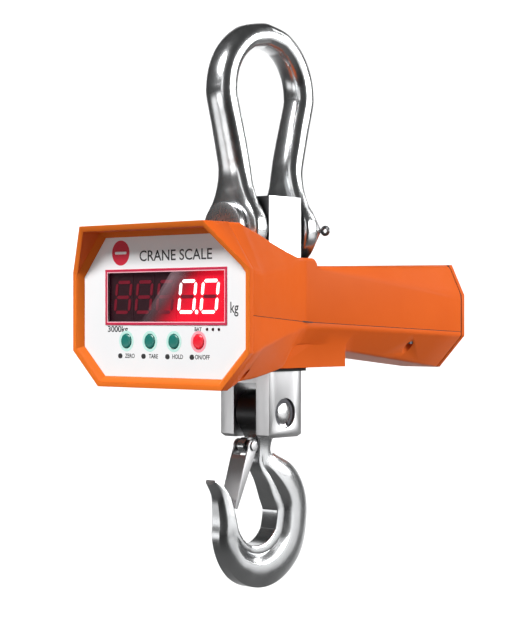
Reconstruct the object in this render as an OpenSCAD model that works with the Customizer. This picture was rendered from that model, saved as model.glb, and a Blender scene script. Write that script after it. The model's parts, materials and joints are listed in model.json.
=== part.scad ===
// Hanging crane scale: a bow shackle carries a one-piece steel load cell, the load cell carries
// a painted housing with a hooded display end and a battery box, and a latched hook hangs below.
// Origin: the seat at the top of the shackle's opening. +Z up, the display faces -Y.

/* [Shackle] */
// Height from the shackle's pin up to the seat inside its crown
shackle_reach = 157; // [144:1:190]
// Thickness of the crown in the shackle's plane
crown_t = 22; // [18:1:26]
// Width of the bar across the shackle's plane
bar_w = 28; // [24:1:32]
// Inside width of the bow at its widest
bow_w = 78; // [70:1:96]
// Radius of the two eyes
eye_r = 32; // [28:1:36]
// Thickness of each eye
eye_t = 18; // [14:1:22]
// Diameter of the shackle's pin
shackle_pin_d = 28; // [22:1:32]

/* [Load cell] */
// Width of the steel load cell, across the display
cell_w = 56; // [50:1:68]
// Depth of the steel load cell, front to back
cell_t = 42; // [36:1:52]
// Steel above the shackle's pin
cell_head = 27; // [22:1:32]
// Steel below the hook's pin
cell_foot = 21; // [17:1:26]
// Distance between the shackle's pin and the hook's pin
pin_spacing = 159; // [155:1:192]
// Slot that takes the hook's eye
clevis_gap = 26; // [24:1:31]
// Diameter of the hook's pin
hook_pin_d = 20; // [16:1:24]
// Gap between the load cell and each shackle eye
eye_gap = 3; // [1.5:0.5:6]

/* [Hook] */
// Radius of the inside of the bowl
bowl_r = 25; // [21:0.5:30]
// Height from the bowl's centre up to the hook's pin
bowl_drop = 89; // [86:1:108]
// Steel under the bowl
saddle_t = 35; // [29:1:42]
// Radius of the hook's eye
hook_eye_r = 20; // [18:0.5:24]
// Thickness of the hook's bar across its plane
hook_w = 21; // [18:0.5:22]

/* [Housing] */
// Half width of the display end
head_w = 102; // [98:1:124]
// Top of the display end above the datum
head_top = 78; // [72:1:94]
// Bottom of the display end below the datum
head_foot = 56; // [50:1:68]
// Distance from the hanging axis to the rim of the display end
head_reach = 127; // [120:1:153]
// How far the hood stands forward over the display
hood_reach = 21; // [0:1:30]
// Half width of the waist and the battery box
body_w = 50; // [46:1:60]
// Distance from the hanging axis to the end of the battery box
tail_reach = 234; // [215:1:281]
// Casting wall
wall = 4; // [3:0.5:5]
// Thickness of the rim round the display
rim_w = 4.5; // [3.5:0.5:6]

/* [Display] */
// Width of the display window
window_w = 136; // [132:1:146]
// Height of the display window
window_h = 42.5; // [36:0.5:48]
// Height of one digit
digit_h = 27; // [22:1:32]
// Distance between digits
digit_pitch = 25; // [22:0.5:26]
// Diameter of a key's cap
key_d = 12; // [10:0.5:16]
// Distance between keys
key_pitch = 27.8; // [22:0.1:33.4]
// Travel of a key
key_travel = 0.8; // [0.6:0.1:1.2]

/* [Battery] */
// Width of the battery
battery_w = 47; // [40:1:50]
// Length of the battery
battery_l = 101; // [84:1:110]
// Height of the battery
battery_h = 64; // [55:1:65]

/* [Hidden] */

fine = 96;
running = 0.05;      // radial clearance of a turning pin
fit = 0.3;           // clearance between pieces that lie beside each other
over = 1;            // how far a cut runs past a face
screw_d = 5;
screw_head_d = 9;
screw_head_t = 4;

// Heights, all from the seat inside the crown
pin_z = -shackle_reach;
datum_z = pin_z - 79;
hook_z = pin_z - pin_spacing;
bowl_z = hook_z - bowl_drop;
cell_top = pin_z + cell_head;
cell_bottom = hook_z - cell_foot;

/* ---------- shared shapes ---------- */

// A cylinder along X, centred on x
module rod_x(r, len, x = 0, y = 0, z = 0) {
    translate([x, y, z]) rotate([0, 90, 0]) cylinder(r = r, h = len, center = true, $fn = fine);
}

// A cylinder along Y, centred on y
module rod_y(r, len, x = 0, y = 0, z = 0) {
    translate([x, y, z]) rotate([90, 0, 0]) cylinder(r = r, h = len, center = true, $fn = fine);
}

// A cylinder along Z from one height to another
module rod_z(r, low, high, x = 0, y = 0) {
    translate([x, y, low]) cylinder(r = r, h = high - low, $fn = fine);
}

// A box with its middle at the given place
module block(size, at = [0, 0, 0]) {
    translate(at) cube(size, center = true);
}

// A box from one corner to the opposite one
module span(low, high) {
    translate(low) cube(high - low);
}

// A plate from an outline in X-Z, between two depths
module plate_y(points, front, back) {
    translate([0, back, 0]) rotate([90, 0, 0]) linear_extrude(height = back - front) polygon(points);
}

// A solid through rings of points, each ring with the same number of points
module skin(rings) {
    n = len(rings[0]);
    m = len(rings);
    points = [for (ring = rings) each ring];
    sides = [for (i = [0:m - 2], j = [0:n - 1], half = [0, 1])
        let (a = i * n + j, b = i * n + (j + 1) % n, c = a + n, d = b + n)
        half == 0 ? [a, c, b] : [b, c, d]];
    first = [for (j = [0:n - 1]) j];
    last = [for (j = [n - 1:-1:0]) (m - 1) * n + j];
    polyhedron(points = points, faces = concat([first], sides, [last]), convexity = 6);
}

// Value between b and c of four neighbours (Catmull-Rom)
function smooth4(a, b, c, d, t) =
    0.5 * (2 * b + (c - a) * t + (2 * a - 5 * b + 4 * c - d) * t * t
        + (3 * b - a - 3 * c + d) * t * t * t);

// A list of stations refined so that each gap gets the given number of steps
function refine(list, steps) = concat([for (i = [0:len(list) - 2], s = [0:steps - 1])
    let (n = len(list))
    smooth4(list[max(i - 1, 0)], list[i], list[i + 1], list[min(i + 2, n - 1)], s / steps)],
    [list[len(list) - 1]]);

function unit(v) = v / norm(v);

// An oval ring square to a path in the Y-Z plane; stations are [y, z, half depth, half width]
function oval_ring(list, i, sides) =
    let (a = list[max(i - 1, 0)], b = list[min(i + 1, len(list) - 1)],
        t = unit([b[0] - a[0], b[1] - a[1]]), n = [-t[1], t[0]], s = list[i])
    [for (k = [0:sides - 1]) let (c = cos(360 * k / sides), w = sin(360 * k / sides))
        [s[3] * w, s[0] + s[2] * c * n[0], s[1] + s[2] * c * n[1]]];

// A bent bar through refined stations
module bent_bar(stations, steps, sides) {
    path = refine(stations, steps);
    skin([for (i = [0:len(path) - 1]) oval_ring(path, i, sides)]);
}

// A round lead through points
module lead(path, r, sides) {
    skin([for (i = [0:len(path) - 1])
        let (a = path[max(i - 1, 0)], b = path[min(i + 1, len(path) - 1)],
            t = unit(b - a), u = unit(cross(t, [0.02, 0.03, 1])), v = cross(t, u))
        [for (k = [0:sides - 1]) path[i] + r * (cos(360 * k / sides) * u + sin(360 * k / sides) * v)]]);
}

/* ---------- shackle ---------- */

eye_y = cell_t / 2 + eye_gap + eye_t / 2;
eye_face = eye_y + eye_t / 2;
bow_r = bow_w / 2 + crown_t / 2;     // centre line of the bow
bow_z = crown_t / 2 - bow_r;         // centre of the bow
half_bar = bar_w / 2;
half_crown = crown_t / 2;

// Stations up one leg
leg = [
    [eye_y, pin_z, eye_t / 2, eye_r - 3],
    [eye_y, pin_z + 14, eye_t / 2, eye_r - 5],
    [eye_y, pin_z + 23, eye_t / 2, (eye_r + half_bar) / 2 - 1],
    [eye_y + 0.3, pin_z + 34, eye_t / 2 + 0.8, half_bar + 4],
    [eye_y + 1.5, pin_z + 54, half_crown, half_bar + 1.2],
    [(eye_y + 2 + bow_r) / 2, max(pin_z + 60, bow_z - 32), half_crown, half_bar + 1]];
crown = [for (a = [-8:22:80]) [bow_r * cos(a), bow_z + bow_r * sin(a), half_crown, half_bar]];
rise = concat(leg, crown);

module bow_shackle() {
    across = concat(rise, [[0, half_crown, half_crown, half_bar]],
        [for (i = [len(rise) - 1:-1:0]) [-rise[i][0], rise[i][1], rise[i][2], rise[i][3]]]);
    color("silver") difference() {
        union() {
            bent_bar(across, 3, 16);
            for (side = [-1, 1]) rod_y(eye_r, eye_t, 0, side * eye_y, pin_z);
        }
        rod_y(shackle_pin_d / 2, 2 * (eye_face + over), 0, 0, pin_z);
        // the legs stay off the load cell
        block([2 * eye_r, 2 * (eye_y - eye_t / 2), 2 * eye_r], [0, 0, pin_z]);
        // flat faces for the pin's head and the washer
        for (side = [-1, 1])
            rod_y(shackle_pin_d / 2 + 9, 10, 0, side * (eye_face + 5), pin_z);
    }
}

pin_head_t = 8;
pin_head_d = shackle_pin_d + 15;
washer_t = 3;
nut_t = 12;
pin_tail = 7;
cotter_r = 1.8;
cotter_y = eye_face + washer_t + nut_t + pin_tail / 2;

module shackle_pin() {
    end = eye_face + washer_t + nut_t + pin_tail;
    color("lightgray") difference() {
        union() {
            rod_y(shackle_pin_d / 2, eye_face + end, 0, (end - eye_face) / 2, pin_z);
            rod_y(pin_head_d / 2, pin_head_t, 0, -eye_face - pin_head_t / 2, pin_z);
        }
        rod_x(cotter_r, shackle_pin_d + 2 * over, 0, cotter_y, pin_z);
    }
}

module shackle_washer() {
    color("gainsboro") difference() {
        rod_y(shackle_pin_d / 2 + 8, washer_t, 0, eye_face + washer_t / 2, pin_z);
        rod_y(shackle_pin_d / 2, washer_t + 2 * over, 0, eye_face + washer_t / 2, pin_z);
    }
}

module shackle_nut() {
    middle = eye_face + washer_t + nut_t / 2;
    color("darkgray") difference() {
        translate([0, middle, pin_z]) rotate([90, 0, 0])
            cylinder(d = shackle_pin_d * 1.5, h = nut_t, center = true, $fn = 6);
        rod_y(shackle_pin_d / 2, nut_t + 2 * over, 0, middle, pin_z);
    }
}

module shackle_cotter() {
    loop_r = 3.4;
    end = shackle_pin_d / 2 + 5;
    color("gray") {
        rod_x(cotter_r, 2 * end, 0, cotter_y, pin_z);
        translate([end + loop_r, cotter_y, pin_z]) rotate([90, 0, 0])
            rotate_extrude($fn = fine) translate([loop_r, 0]) circle(r = cotter_r * 0.8, $fn = 24);
    }
}

/* ---------- load cell ---------- */

bush_wall = 3;
slot_top = hook_z + hook_eye_r + 6;
gauge_z = datum_z + 4;
pocket_w = 24;
pocket_h = 40;
pocket_d = 11;
cover_t = 2;
cover_lip = 4;
recess_d = hook_pin_d + 6;           // recess round each end of the hook's pin
recess_t = 3;
ring_t = 1.2;
lead_r = 2.2;

foot_chamfer = 2.5;

// Upright outline of the load cell with its lower corners cut off
function chamfered(w) = [[-w, cell_top], [w, cell_top], [w, cell_bottom + foot_chamfer],
    [w - foot_chamfer, cell_bottom], [foot_chamfer - w, cell_bottom], [-w, cell_bottom + foot_chamfer]];

module load_cell() {
    color("silver") difference() {
        intersection() {
            plate_y(chamfered(cell_w / 2), -cell_t / 2, cell_t / 2);
            rotate([0, 0, 90]) plate_y(chamfered(cell_t / 2), -cell_w / 2, cell_w / 2);
        }
        rod_y(shackle_pin_d / 2 + bush_wall, cell_t + 2 * over, 0, 0, pin_z);
        span([-clevis_gap / 2, -cell_t / 2 - over, cell_bottom - over],
            [clevis_gap / 2, cell_t / 2 + over, slot_top]);
        rod_x(hook_pin_d / 2, cell_w + 2 * over, 0, 0, hook_z);
        for (side = [-1, 1]) {
            rod_x(recess_d / 2, recess_t * 2, side * cell_w / 2, 0, hook_z);
            block([pocket_d * 2, pocket_w, pocket_h], [side * cell_w / 2, 0, gauge_z]);
            block([cover_t * 2, pocket_w + 2 * cover_lip, pocket_h + 2 * cover_lip],
                [side * cell_w / 2, 0, gauge_z]);
            // tapped holes for the brackets
            for (x = [-12, 12])
                rod_y(screw_d / 2, 24, x, side * (cell_t / 2), bracket_screw_z);
        }
        // passage between the two pockets
        rod_x(4, cell_w, 0, 0, gauge_z);
    }
}

module pin_bush() {
    color("goldenrod") difference() {
        rod_y(shackle_pin_d / 2 + bush_wall, cell_t, 0, 0, pin_z);
        rod_y(shackle_pin_d / 2 + running, cell_t + 2 * over, 0, 0, pin_z);
    }
}

module strain_gauges() {
    gauge_t = 0.4;
    color("orange") for (side = [-1, 1], row = [-1, 1])
        block([gauge_t, 10, 8], [side * (cell_w / 2 - pocket_d + gauge_t / 2), 0, gauge_z + row * 11]);
}

module gauge_cover(side) {
    color("dimgray") difference() {
        block([cover_t, pocket_w + 2 * cover_lip, pocket_h + 2 * cover_lip],
            [side * (cell_w - cover_t) / 2, 0, gauge_z]);
        if (side > 0) rod_x(lead_r, 4 * cover_t, cell_w / 2, 0, gauge_z);
    }
}

module gauge_cover_left() { gauge_cover(-1); }

module gauge_cover_right() { gauge_cover(1); }

/* ---------- brackets between load cell and housing ---------- */

boss_w = 40;                         // half width of the raised frame under the housing
boss_front = -23;
boss_back = 69;
boss_bottom = datum_z - 41;
floor_z = boss_bottom + wall;        // inside of that frame
bracket_t = 4;
bracket_w = 44;
bracket_rise = 40;
bracket_foot = 26;
bracket_screw_z = floor_z + 26;
front_foot = 17;                     // foot of the front bracket

function foot_of(side) = side > 0 ? bracket_foot : front_foot;
function foot_hole(side) = side * (cell_t / 2 + foot_of(side) - 7);

// Angle bracket on one face of the cell; its foot stands on the housing's floor
module bracket(side) {
    foot = foot_of(side);
    near = cell_t / 2;
    color("slategray") difference() {
        union() {
            block([bracket_w, bracket_t, bracket_rise],
                [0, side * (near + bracket_t / 2), floor_z + bracket_rise / 2]);
            block([bracket_w, foot, bracket_t],
                [0, side * (near + foot / 2), floor_z + bracket_t / 2]);
        }
        for (x = [-12, 12]) {
            rod_y(screw_d / 2 + fit, 40, x, side * near, bracket_screw_z);
            rod_z(screw_d / 2 + fit, floor_z - over, floor_z + bracket_t + over, x * 1.4,
                foot_hole(side));
        }
    }
}

module bracket_front() { bracket(-1); }

module bracket_rear() { bracket(1); }

module bracket_screws() {
    color("dimgray") for (side = [-1, 1], x = [-12, 12]) {
        head = cell_t / 2 + bracket_t;
        rod_y(screw_d / 2, 16, x, side * (head - 8), bracket_screw_z);
        rod_y(screw_head_d / 2, screw_head_t, x, side * (head + screw_head_t / 2), bracket_screw_z);
        rod_z(screw_d / 2, boss_bottom - over, floor_z + bracket_t, x * 1.4, foot_hole(side));
        rod_z(screw_head_d / 2, floor_z + bracket_t, floor_z + bracket_t + 3, x * 1.4,
            foot_hole(side));
    }
}

/* ---------- housing ---------- */

bevel_w = 4.5;                       // lighter bevel inside the rim
panel_recess = 5.5;                  // display panel behind the rim
panel_t = 2.5;
rim_y = -head_reach;
panel_y = rim_y + panel_recess;      // face of the display panel
shell_y = panel_y + panel_t;         // where the castings meet the bezel
flat_w = head_w - 31;                // half width of the display end's top and bottom
chamfer_top = head_top - 38;         // upper and lower ends of its upright sides
chamfer_foot = 30 - head_foot;
slope_y = -10;                       // where the head's slope meets the waist
boss_end = 16;                       // back end of the waist's raised top
lid_t = 4.5;                         // rear cover
seal_t = 1.5;
tail_y = tail_reach - lid_t - seal_t;

// Side width at a depth, tapering from the rim to the waist
function side_w(y) = let (bend = rim_y + 31, w = head_w - 13)
    y < bend ? head_w + (w - head_w) * (y - rim_y) / (bend - rim_y)
        : w + (body_w - w) * (y - bend) / (2 - bend);

// Half outlines from the top middle to the bottom middle, [x, height over the datum]
waist_top = 53;
box_top = waist_top - 6.5;
shell_stations = [
    [shell_y, [[flat_w, head_top], [side_w(shell_y), chamfer_top],
        [side_w(shell_y), chamfer_foot], [flat_w, -head_foot]]],
    [rim_y + 23, [[flat_w, head_top], [side_w(rim_y + 23), chamfer_top - 2],
        [side_w(rim_y + 23), chamfer_foot + 2], [flat_w - 5, 4 - head_foot]]],
    [rim_y + 31, [[flat_w - 2, head_top - 2.2], [side_w(rim_y + 31), chamfer_top - 3],
        [side_w(rim_y + 31), chamfer_foot + 4], [flat_w - 9, 6 - head_foot]]],
    [-45, [[flat_w - 13, waist_top + 9.5], [side_w(-45), waist_top - 9],
        [side_w(-45), -12], [48, -45]]],
    [boss_front, [[56, waist_top + 3.5], [side_w(boss_front), waist_top - 3],
        [side_w(boss_front), -9.6], [45, -40]]],
    [slope_y, [[body_w + 1, waist_top], [side_w(slope_y), waist_top - 2],
        [side_w(slope_y), -7.5], [43, -24]]],
    [boss_end - 3, [[body_w - 2, waist_top], [body_w, waist_top - 2], [body_w, -7], [40, -21.5]]],
    [boss_end, [[body_w - 2.5, waist_top - 1.5], [body_w - 0.3, waist_top - 3.4],
        [body_w, -7], [40, -21.8]]],
    [boss_end + 3, [[body_w - 3, box_top], [body_w, box_top - 2.5], [body_w, -7], [39.5, -22]]],
    [tail_y, [[body_w - 14.5, box_top + 6], [body_w, box_top - 23], [body_w, -15], [21, -45]]]];

// The outline at one station on both sides, drawn in by an inset
function outline(half, inset) = let (n = len(half),
    sign = [1, 1, -1, -1], drawn = [for (i = [0:n - 1])
        [half[i][0] - inset * (i == 0 || i == n - 1 ? 0.75 : 1),
            half[i][1] - inset * sign[i] * (i == 0 || i == n - 1 ? 1 : 0.3)]])
    concat(drawn, [for (i = [n - 1:-1:0]) [-drawn[i][0], drawn[i][1]]]);

function ring_at(y, points) = [for (p = points) [p[0], y, datum_z + p[1]]];

module shell_solid(inset = 0, longer = 0) {
    last = len(shell_stations) - 1;
    skin([for (i = [0:last]) let (s = shell_stations[i])
        ring_at(s[0] + (i == 0 ? -longer : i == last ? longer : 0), outline(s[1], inset))]);
}

// The castings meet on a plane that falls towards the battery end
seam_front = 3.8;
seam_rear = -11.4;
seam_tilt = atan((seam_rear - seam_front) / (tail_reach + head_reach));
seam_t = 1;

module seam_half(up, gap) {
    translate([0, rim_y, datum_z + seam_front + (up ? gap : -gap)]) rotate([seam_tilt, 0, 0])
        translate([-200, -80, up ? 0 : -300]) cube([400, 700, 300]);
}

well_x = 42;                         // half width of the opening round the shackle's eyes
well_y = eye_face + 14;
boot_t = 3;
// Screws between the castings: [x, y, height of the head's seat]
rear_screw_y = 160;
casting_screws = [[38.5, rear_screw_y, datum_z - 18], [flat_w - 5, rim_y + 32, datum_z - 30]];
post_r = 6;

module posts(r, low, high) {
    for (s = casting_screws, side = [-1, 1]) rod_z(r, low, high, side * s[0], s[1]);
}

// Screws of the rear cover: a pair in the upper casting, then a pair in the lower one, [x, height]
lid_screws = [[body_w - 9, 10], [17, -34]];
lid_post = 16;

module lid_rods(p, r, front, back) {
    for (side = [-1, 1])
        rod_y(r, back - front, side * p[0], (front + back) / 2, datum_z + p[1]);
}

module lid_posts(r, pair) {
    lid_rods(lid_screws[pair], r, tail_y - lid_post, tail_y + over);
}

module upper_housing() {
    color("darkorange") difference() {
        intersection() {
            union() {
                difference() {
                    shell_solid();
                    shell_solid(wall, over);
                }
                intersection() {
                    shell_solid(wall / 2);
                    union() {
                        posts(post_r, datum_z - 30, datum_z + head_top);
                        lid_posts(post_r, 0);
                    }
                }
            }
            seam_half(true, seam_t / 2);
        }
        span([-well_x, -well_y, datum_z + 20], [well_x, well_y, datum_z + 100]);
        posts(screw_d / 2, datum_z - 60, datum_z + 12);
        lid_posts(screw_d / 2, 0);
    }
}

module lower_housing() {
    color("darkorange") difference() {
        intersection() {
            union() {
                difference() {
                    shell_solid();
                    shell_solid(wall, over);
                }
                intersection() {
                    shell_solid(wall / 2);
                    union() {
                        posts(screw_head_d / 2 + 2.2, datum_z - 80, datum_z + 20);
                        lid_posts(post_r + 2, 1);
                    }
                }
                // raised frame under the load cell
                difference() {
                    span([-boss_w, boss_front, boss_bottom], [boss_w, boss_back, datum_z - 18]);
                    span([-boss_w + wall, boss_front - over, floor_z],
                        [boss_w - wall, boss_back - wall, datum_z]);
                }
                // floor of the frame, carried forward under the front bracket
                span([-boss_w, -50, boss_bottom], [boss_w, boss_front + over, floor_z]);
            }
            seam_half(false, seam_t / 2);
        }
        // inside of the raised frame, open to the inside of the castings
        span([-boss_w + wall, -50, floor_z], [boss_w - wall, boss_back - wall, datum_z]);
        // opening for the load cell and its boot
        block([cell_w + 2 * boot_t, cell_t + 2 * boot_t, 60], [0, 0, boss_bottom]);
        for (side = [-1, 1], x = [-12, 12])
            rod_z(screw_d / 2, boss_bottom - over, floor_z + over, x * 1.4, foot_hole(side));
        for (s = casting_screws, side = [-1, 1]) {
            rod_z(screw_d / 2 + fit, datum_z - 100, datum_z + 30, side * s[0], s[1]);
            rod_z(screw_head_d / 2 + 0.5, datum_z - 120, s[2], side * s[0], s[1]);
        }
        lid_posts(screw_d / 2, 1);
    }
}

module housing_gasket() {
    color("black") intersection() {
        difference() {
            shell_solid(0.5);
            shell_solid(wall - 0.5, over);
        }
        seam_half(true, -seam_t / 2);
        seam_half(false, -seam_t / 2);
    }
}

module housing_screws() {
    color("dimgray") for (s = casting_screws, side = [-1, 1]) {
        rod_z(screw_d / 2, s[2], datum_z + 10, side * s[0], s[1]);
        rod_z(screw_head_d / 2, s[2] - screw_head_t, s[2], side * s[0], s[1]);
    }
}

module top_boot() {
    low = datum_z + box_top - 12;
    high = datum_z + box_top - 1.5;
    lip = 1.5;
    color("black") difference() {
        span([-well_x + fit, -well_y + fit, low], [well_x - fit, well_y - fit, high]);
        span([-well_x + lip + fit, -well_y + lip + fit, low + 2.5],
            [well_x - lip - fit, well_y - lip - fit, high + over]);
        block([cell_w, cell_t, 60], [0, 0, low]);
    }
}

module bottom_boot() {
    color("black") difference() {
        span([-cell_w / 2 - boot_t, -cell_t / 2 - boot_t, boss_bottom - 3],
            [cell_w / 2 + boot_t, cell_t / 2 + boot_t, floor_z]);
        block([cell_w, cell_t, 60], [0, 0, boss_bottom]);
    }
}

/* ---------- display end ---------- */

// Outline of the display end at the rim, drawn in by an inset measured square to the sides
function rim_outline(w, inset) = let (
    k = tan(atan2(38, 31) / 2), m = tan(atan2(30, 31) / 2),
    half = [[flat_w - inset * k, head_top - inset], [w - inset, chamfer_top - inset * tan(22)],
        [w - inset, chamfer_foot + inset * tan(22)], [flat_w - inset * m, inset - head_foot]])
    concat(half, [for (i = [3:-1:0]) [-half[i][0], half[i][1]]]);

function raised(points) = [for (p = points) [p[0], p[1] + datum_z]];

// Solid that tapers from one inset at the front to another at the back
module rim_taper(front, back, inset_front, inset_back, w_front = head_w, w_back = head_w) {
    skin([ring_at(front, rim_outline(w_front, inset_front)),
        ring_at(back, rim_outline(w_back, inset_back))]);
}

module front_bezel() {
    back = shell_y;
    hood_angle = atan2(hood_reach, 38);
    color("orange") difference() {
        union() {
            plate_y(raised(rim_outline(head_w, 0)), rim_y - hood_reach, rim_y);
            rim_taper(rim_y, back, 0, 0, head_w, side_w(shell_y));
        }
        // inside of the rim
        plate_y(raised(rim_outline(head_w, rim_w)), rim_y - hood_reach - over, rim_y + over / 2);
        rim_taper(rim_y, panel_y, rim_w, rim_w + bevel_w);
        plate_y(raised(rim_outline(head_w, rim_w + bevel_w)), panel_y - over, panel_y + over);
        plate_y(raised(rim_outline(head_w, panel_seat)), panel_y, back + over);
        // front faces: upright below the hood, slanted back from the hood's edge
        span([-200, rim_y - 100, datum_z - 100], [200, rim_y, datum_z + chamfer_top]);
        translate([0, rim_y, datum_z + chamfer_top]) rotate([hood_angle, 0, 0])
            translate([-200, -100, 0]) cube([400, 100, 200]);
    }
}

panel_seat = rim_w + 2.5;            // edge of the panel, under the bevel
window_x = 3;
window_z = datum_z + 19;
frame_w = 2;
glass_t = 3;
key_x = -0.2;
key_z = datum_z - 17.5;
key_names = [0, 1, 2, 3];
lamp_x = 57.5;
lamp_z = datum_z - 7.5;
lamp_pitch = 6.5;
lamp_r = 1.2;
board_y = panel_y + 13;
board_t = 1.6;
digit_count = 5;

function key_at(i) = key_x + (i - 1.5) * key_pitch;
function digit_at(i) = window_x - 2.5 + (i - (digit_count - 1) / 2) * digit_pitch;

module display_panel() {
    color("white") difference() {
        plate_y(raised(rim_outline(head_w, panel_seat)), panel_y, shell_y);
        block([window_w, 20, window_h], [window_x, panel_y, window_z]);
        for (i = key_names) rod_y(key_d / 2 + fit, 20, key_at(i), panel_y, key_z);
        for (i = [-1:1]) rod_y(lamp_r + 0.1, 20, lamp_x + i * lamp_pitch, panel_y, lamp_z);
    }
}

module window_frame() {
    color("crimson") difference() {
        block([window_w + 2 * frame_w, 0.6, window_h + 2 * frame_w],
            [window_x, panel_y - 0.3, window_z]);
        block([window_w, 4, window_h], [window_x, panel_y, window_z]);
    }
}

module display_window() {
    color("darkred") block([window_w, glass_t, window_h],
        [window_x, panel_y - 0.3 + glass_t / 2, window_z]);
}

module_front = panel_y - 0.3 + glass_t + 1;
segment_t = 0.4;
lean = tan(7);

module digit_modules() {
    edge = window_w / 2 + 1;
    gap = 0.2;
    color("black") for (i = [0:digit_count - 1])
        span([i == 0 ? window_x - edge : digit_at(i) - digit_pitch / 2 + gap, module_front,
                window_z - window_h / 2 - 1],
            [i == digit_count - 1 ? window_x + edge : digit_at(i) + digit_pitch / 2 - gap, board_y,
                window_z + window_h / 2 + 1]);
}

// One bar of a digit from [x, z] to [x, z], leaning with its height
module bar(i, a, b) {
    t = digit_h / 14;
    d = unit(b - a);
    n = [-d[1], d[0]];
    p = a + d * (t * 0.55);
    q = b - d * (t * 0.55);
    lean_points = [for (v = [p, p + (d + n) * t / 1.4, q + (n - d) * t / 1.4, q,
        q - (n + d) * t / 1.4, p + (d - n) * t / 1.4])
        [digit_at(i) + v[0] + v[1] * lean, window_z + v[1]]];
    plate_y(lean_points, module_front - segment_t, module_front);
}

seg_w = digit_h * 0.31;
seg_h = digit_h / 2 - digit_h / 28;
segment_ends = [
    [[-seg_w, seg_h], [seg_w, seg_h]], [[seg_w, 0], [seg_w, seg_h]], [[seg_w, -seg_h], [seg_w, 0]],
    [[-seg_w, -seg_h], [seg_w, -seg_h]], [[-seg_w, -seg_h], [-seg_w, 0]],
    [[-seg_w, 0], [-seg_w, seg_h]], [[-seg_w, 0], [seg_w, 0]]];

module decimal_point(i) {
    rod_y(digit_h / 16, segment_t, digit_at(i) + digit_pitch * 0.42, module_front - segment_t / 2,
        window_z - seg_h);
}

module lit_segments() {
    color("white") {
        for (i = [3, 4], s = [0:5]) bar(i, segment_ends[s][0], segment_ends[s][1]);
        decimal_point(3);
    }
}

module dark_segments() {
    color("maroon") {
        for (i = [0:2], s = [0:6]) bar(i, segment_ends[s][0], segment_ends[s][1]);
        for (i = [3, 4]) bar(i, segment_ends[6][0], segment_ends[6][1]);
    }
}

module status_lamps() {
    color("red") for (i = [-1:1])
        rod_y(lamp_r, board_y - panel_y + 0.4, lamp_x + i * lamp_pitch,
            (board_y + panel_y - 0.4) / 2, lamp_z);
}

board_w = 150;
board_low = datum_z - 34;
board_high = datum_z + 54;
board_fix = [for (x = [-54, 54], z = [board_low + 6, board_high - 5]) [x, z]];

module display_board() {
    color("darkgreen") difference() {
        span([-board_w / 2, board_y, board_low], [board_w / 2, board_y + board_t, board_high]);
        for (p = board_fix) rod_y(1.6, 10, p[0], board_y, p[1]);
    }
}

// Spacers between the panel and the display board, and behind it to the main board
module board_posts() {
    color("gold") for (p = board_fix) {
        rod_y(3, board_y - shell_y, p[0], (board_y + shell_y) / 2, p[1]);
        rod_y(1.6, board_t, p[0], board_y + board_t / 2, p[1]);
        rod_y(3, main_y - board_y - board_t, p[0], (main_y + board_y + board_t) / 2, p[1]);
    }
}

switch_h = 4;

module key_switches() {
    color("black") for (i = key_names)
        block([12, switch_h, 12], [key_at(i), board_y - switch_h / 2, key_z]);
}

main_y = board_y + board_t + 9;

module main_board() {
    color("green") span([-58, main_y, board_low], [58, main_y + board_t, board_high]);
}

module board_parts() {
    back = main_y + board_t;
    color("dimgray") {
        span([-30, back, datum_z - 14], [-6, back + 3, datum_z + 10]);
        span([6, back, datum_z - 4], [22, back + 2.5, datum_z + 12]);
        span([-56, back, datum_z - 24], [-40, back + 12, datum_z - 6]);
        span([30, back, datum_z - 24], [50, back + 8, datum_z - 12]);
        for (x = [34, 46]) rod_y(4.5, 10, x, back + 5, datum_z + 22);
    }
}

// A key's cap, the flange that keeps it in, and the stem that reaches its switch
module key(i) {
    cap_out = 1.4;
    flange_t = 1.4;
    flange_y = shell_y + fit;
    stem_end = board_y - switch_h - fit - key_travel;
    rod_y(key_d / 2, flange_y - panel_y + cap_out, key_at(i), (flange_y + panel_y - cap_out) / 2, key_z);
    rod_y(key_d / 2 + 1.6, flange_t, key_at(i), flange_y + flange_t / 2, key_z);
    rod_y(2, stem_end - flange_y, key_at(i), (stem_end + flange_y) / 2, key_z);
}

module zero_key() { color("teal") key(0); }

module tare_key() { color("teal") key(1); }

module hold_key() { color("teal") key(2); }

module power_key() { color("crimson") key(3); }

/* ---------- battery box ---------- */

battery_end = tail_y - 20;
battery_front = battery_end - battery_l;
battery_low = datum_z + box_top - wall - 1 - battery_h - 1;
tray_t = 2;

module battery_pack() {
    color("darkslategray") {
        span([-battery_w / 2, battery_front, battery_low],
            [battery_w / 2, battery_end, battery_low + battery_h]);
        for (x = [-12, 12])
            span([x - 3, battery_front - 6, battery_low + battery_h - 14],
                [x + 3, battery_front, battery_low + battery_h - 12]);
    }
}

module battery_tray() {
    low = battery_low - tray_t;
    color("gray") intersection() {
        shell_solid(wall, over);
        union() {
            difference() {
                span([-battery_w / 2 - tray_t, battery_front - 8, low],
                    [battery_w / 2 + tray_t, battery_end + tray_t, battery_low + 14]);
                span([-battery_w / 2, battery_front - 10, battery_low],
                    [battery_w / 2, battery_end, battery_low + 30]);
            }
            // feet down to the casting's floor
            for (y = [battery_front + 12, battery_end - 12], side = [-1, 1])
                rod_z(4, datum_z - 60, low + tray_t / 2, side * 12, y);
        }
    }
}

module battery_strap() {
    strap_t = 1.5;
    middle = (battery_front + battery_end) / 2;
    color("black") for (y = [middle - 26, middle + 26]) difference() {
        span([-battery_w / 2 - strap_t, y - 8, battery_low + 14],
            [battery_w / 2 + strap_t, y + 8, battery_low + battery_h + strap_t]);
        span([-battery_w / 2, y - 10, battery_low], [battery_w / 2, y + 10, battery_low + battery_h]);
    }
}

tail_half = shell_stations[len(shell_stations) - 1][1];

socket_z = datum_z - 22;
socket_r = 6;                        // thread outside of the charging socket
socket_out = 7;
flange_r = 9;
flange_t = 2;

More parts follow.
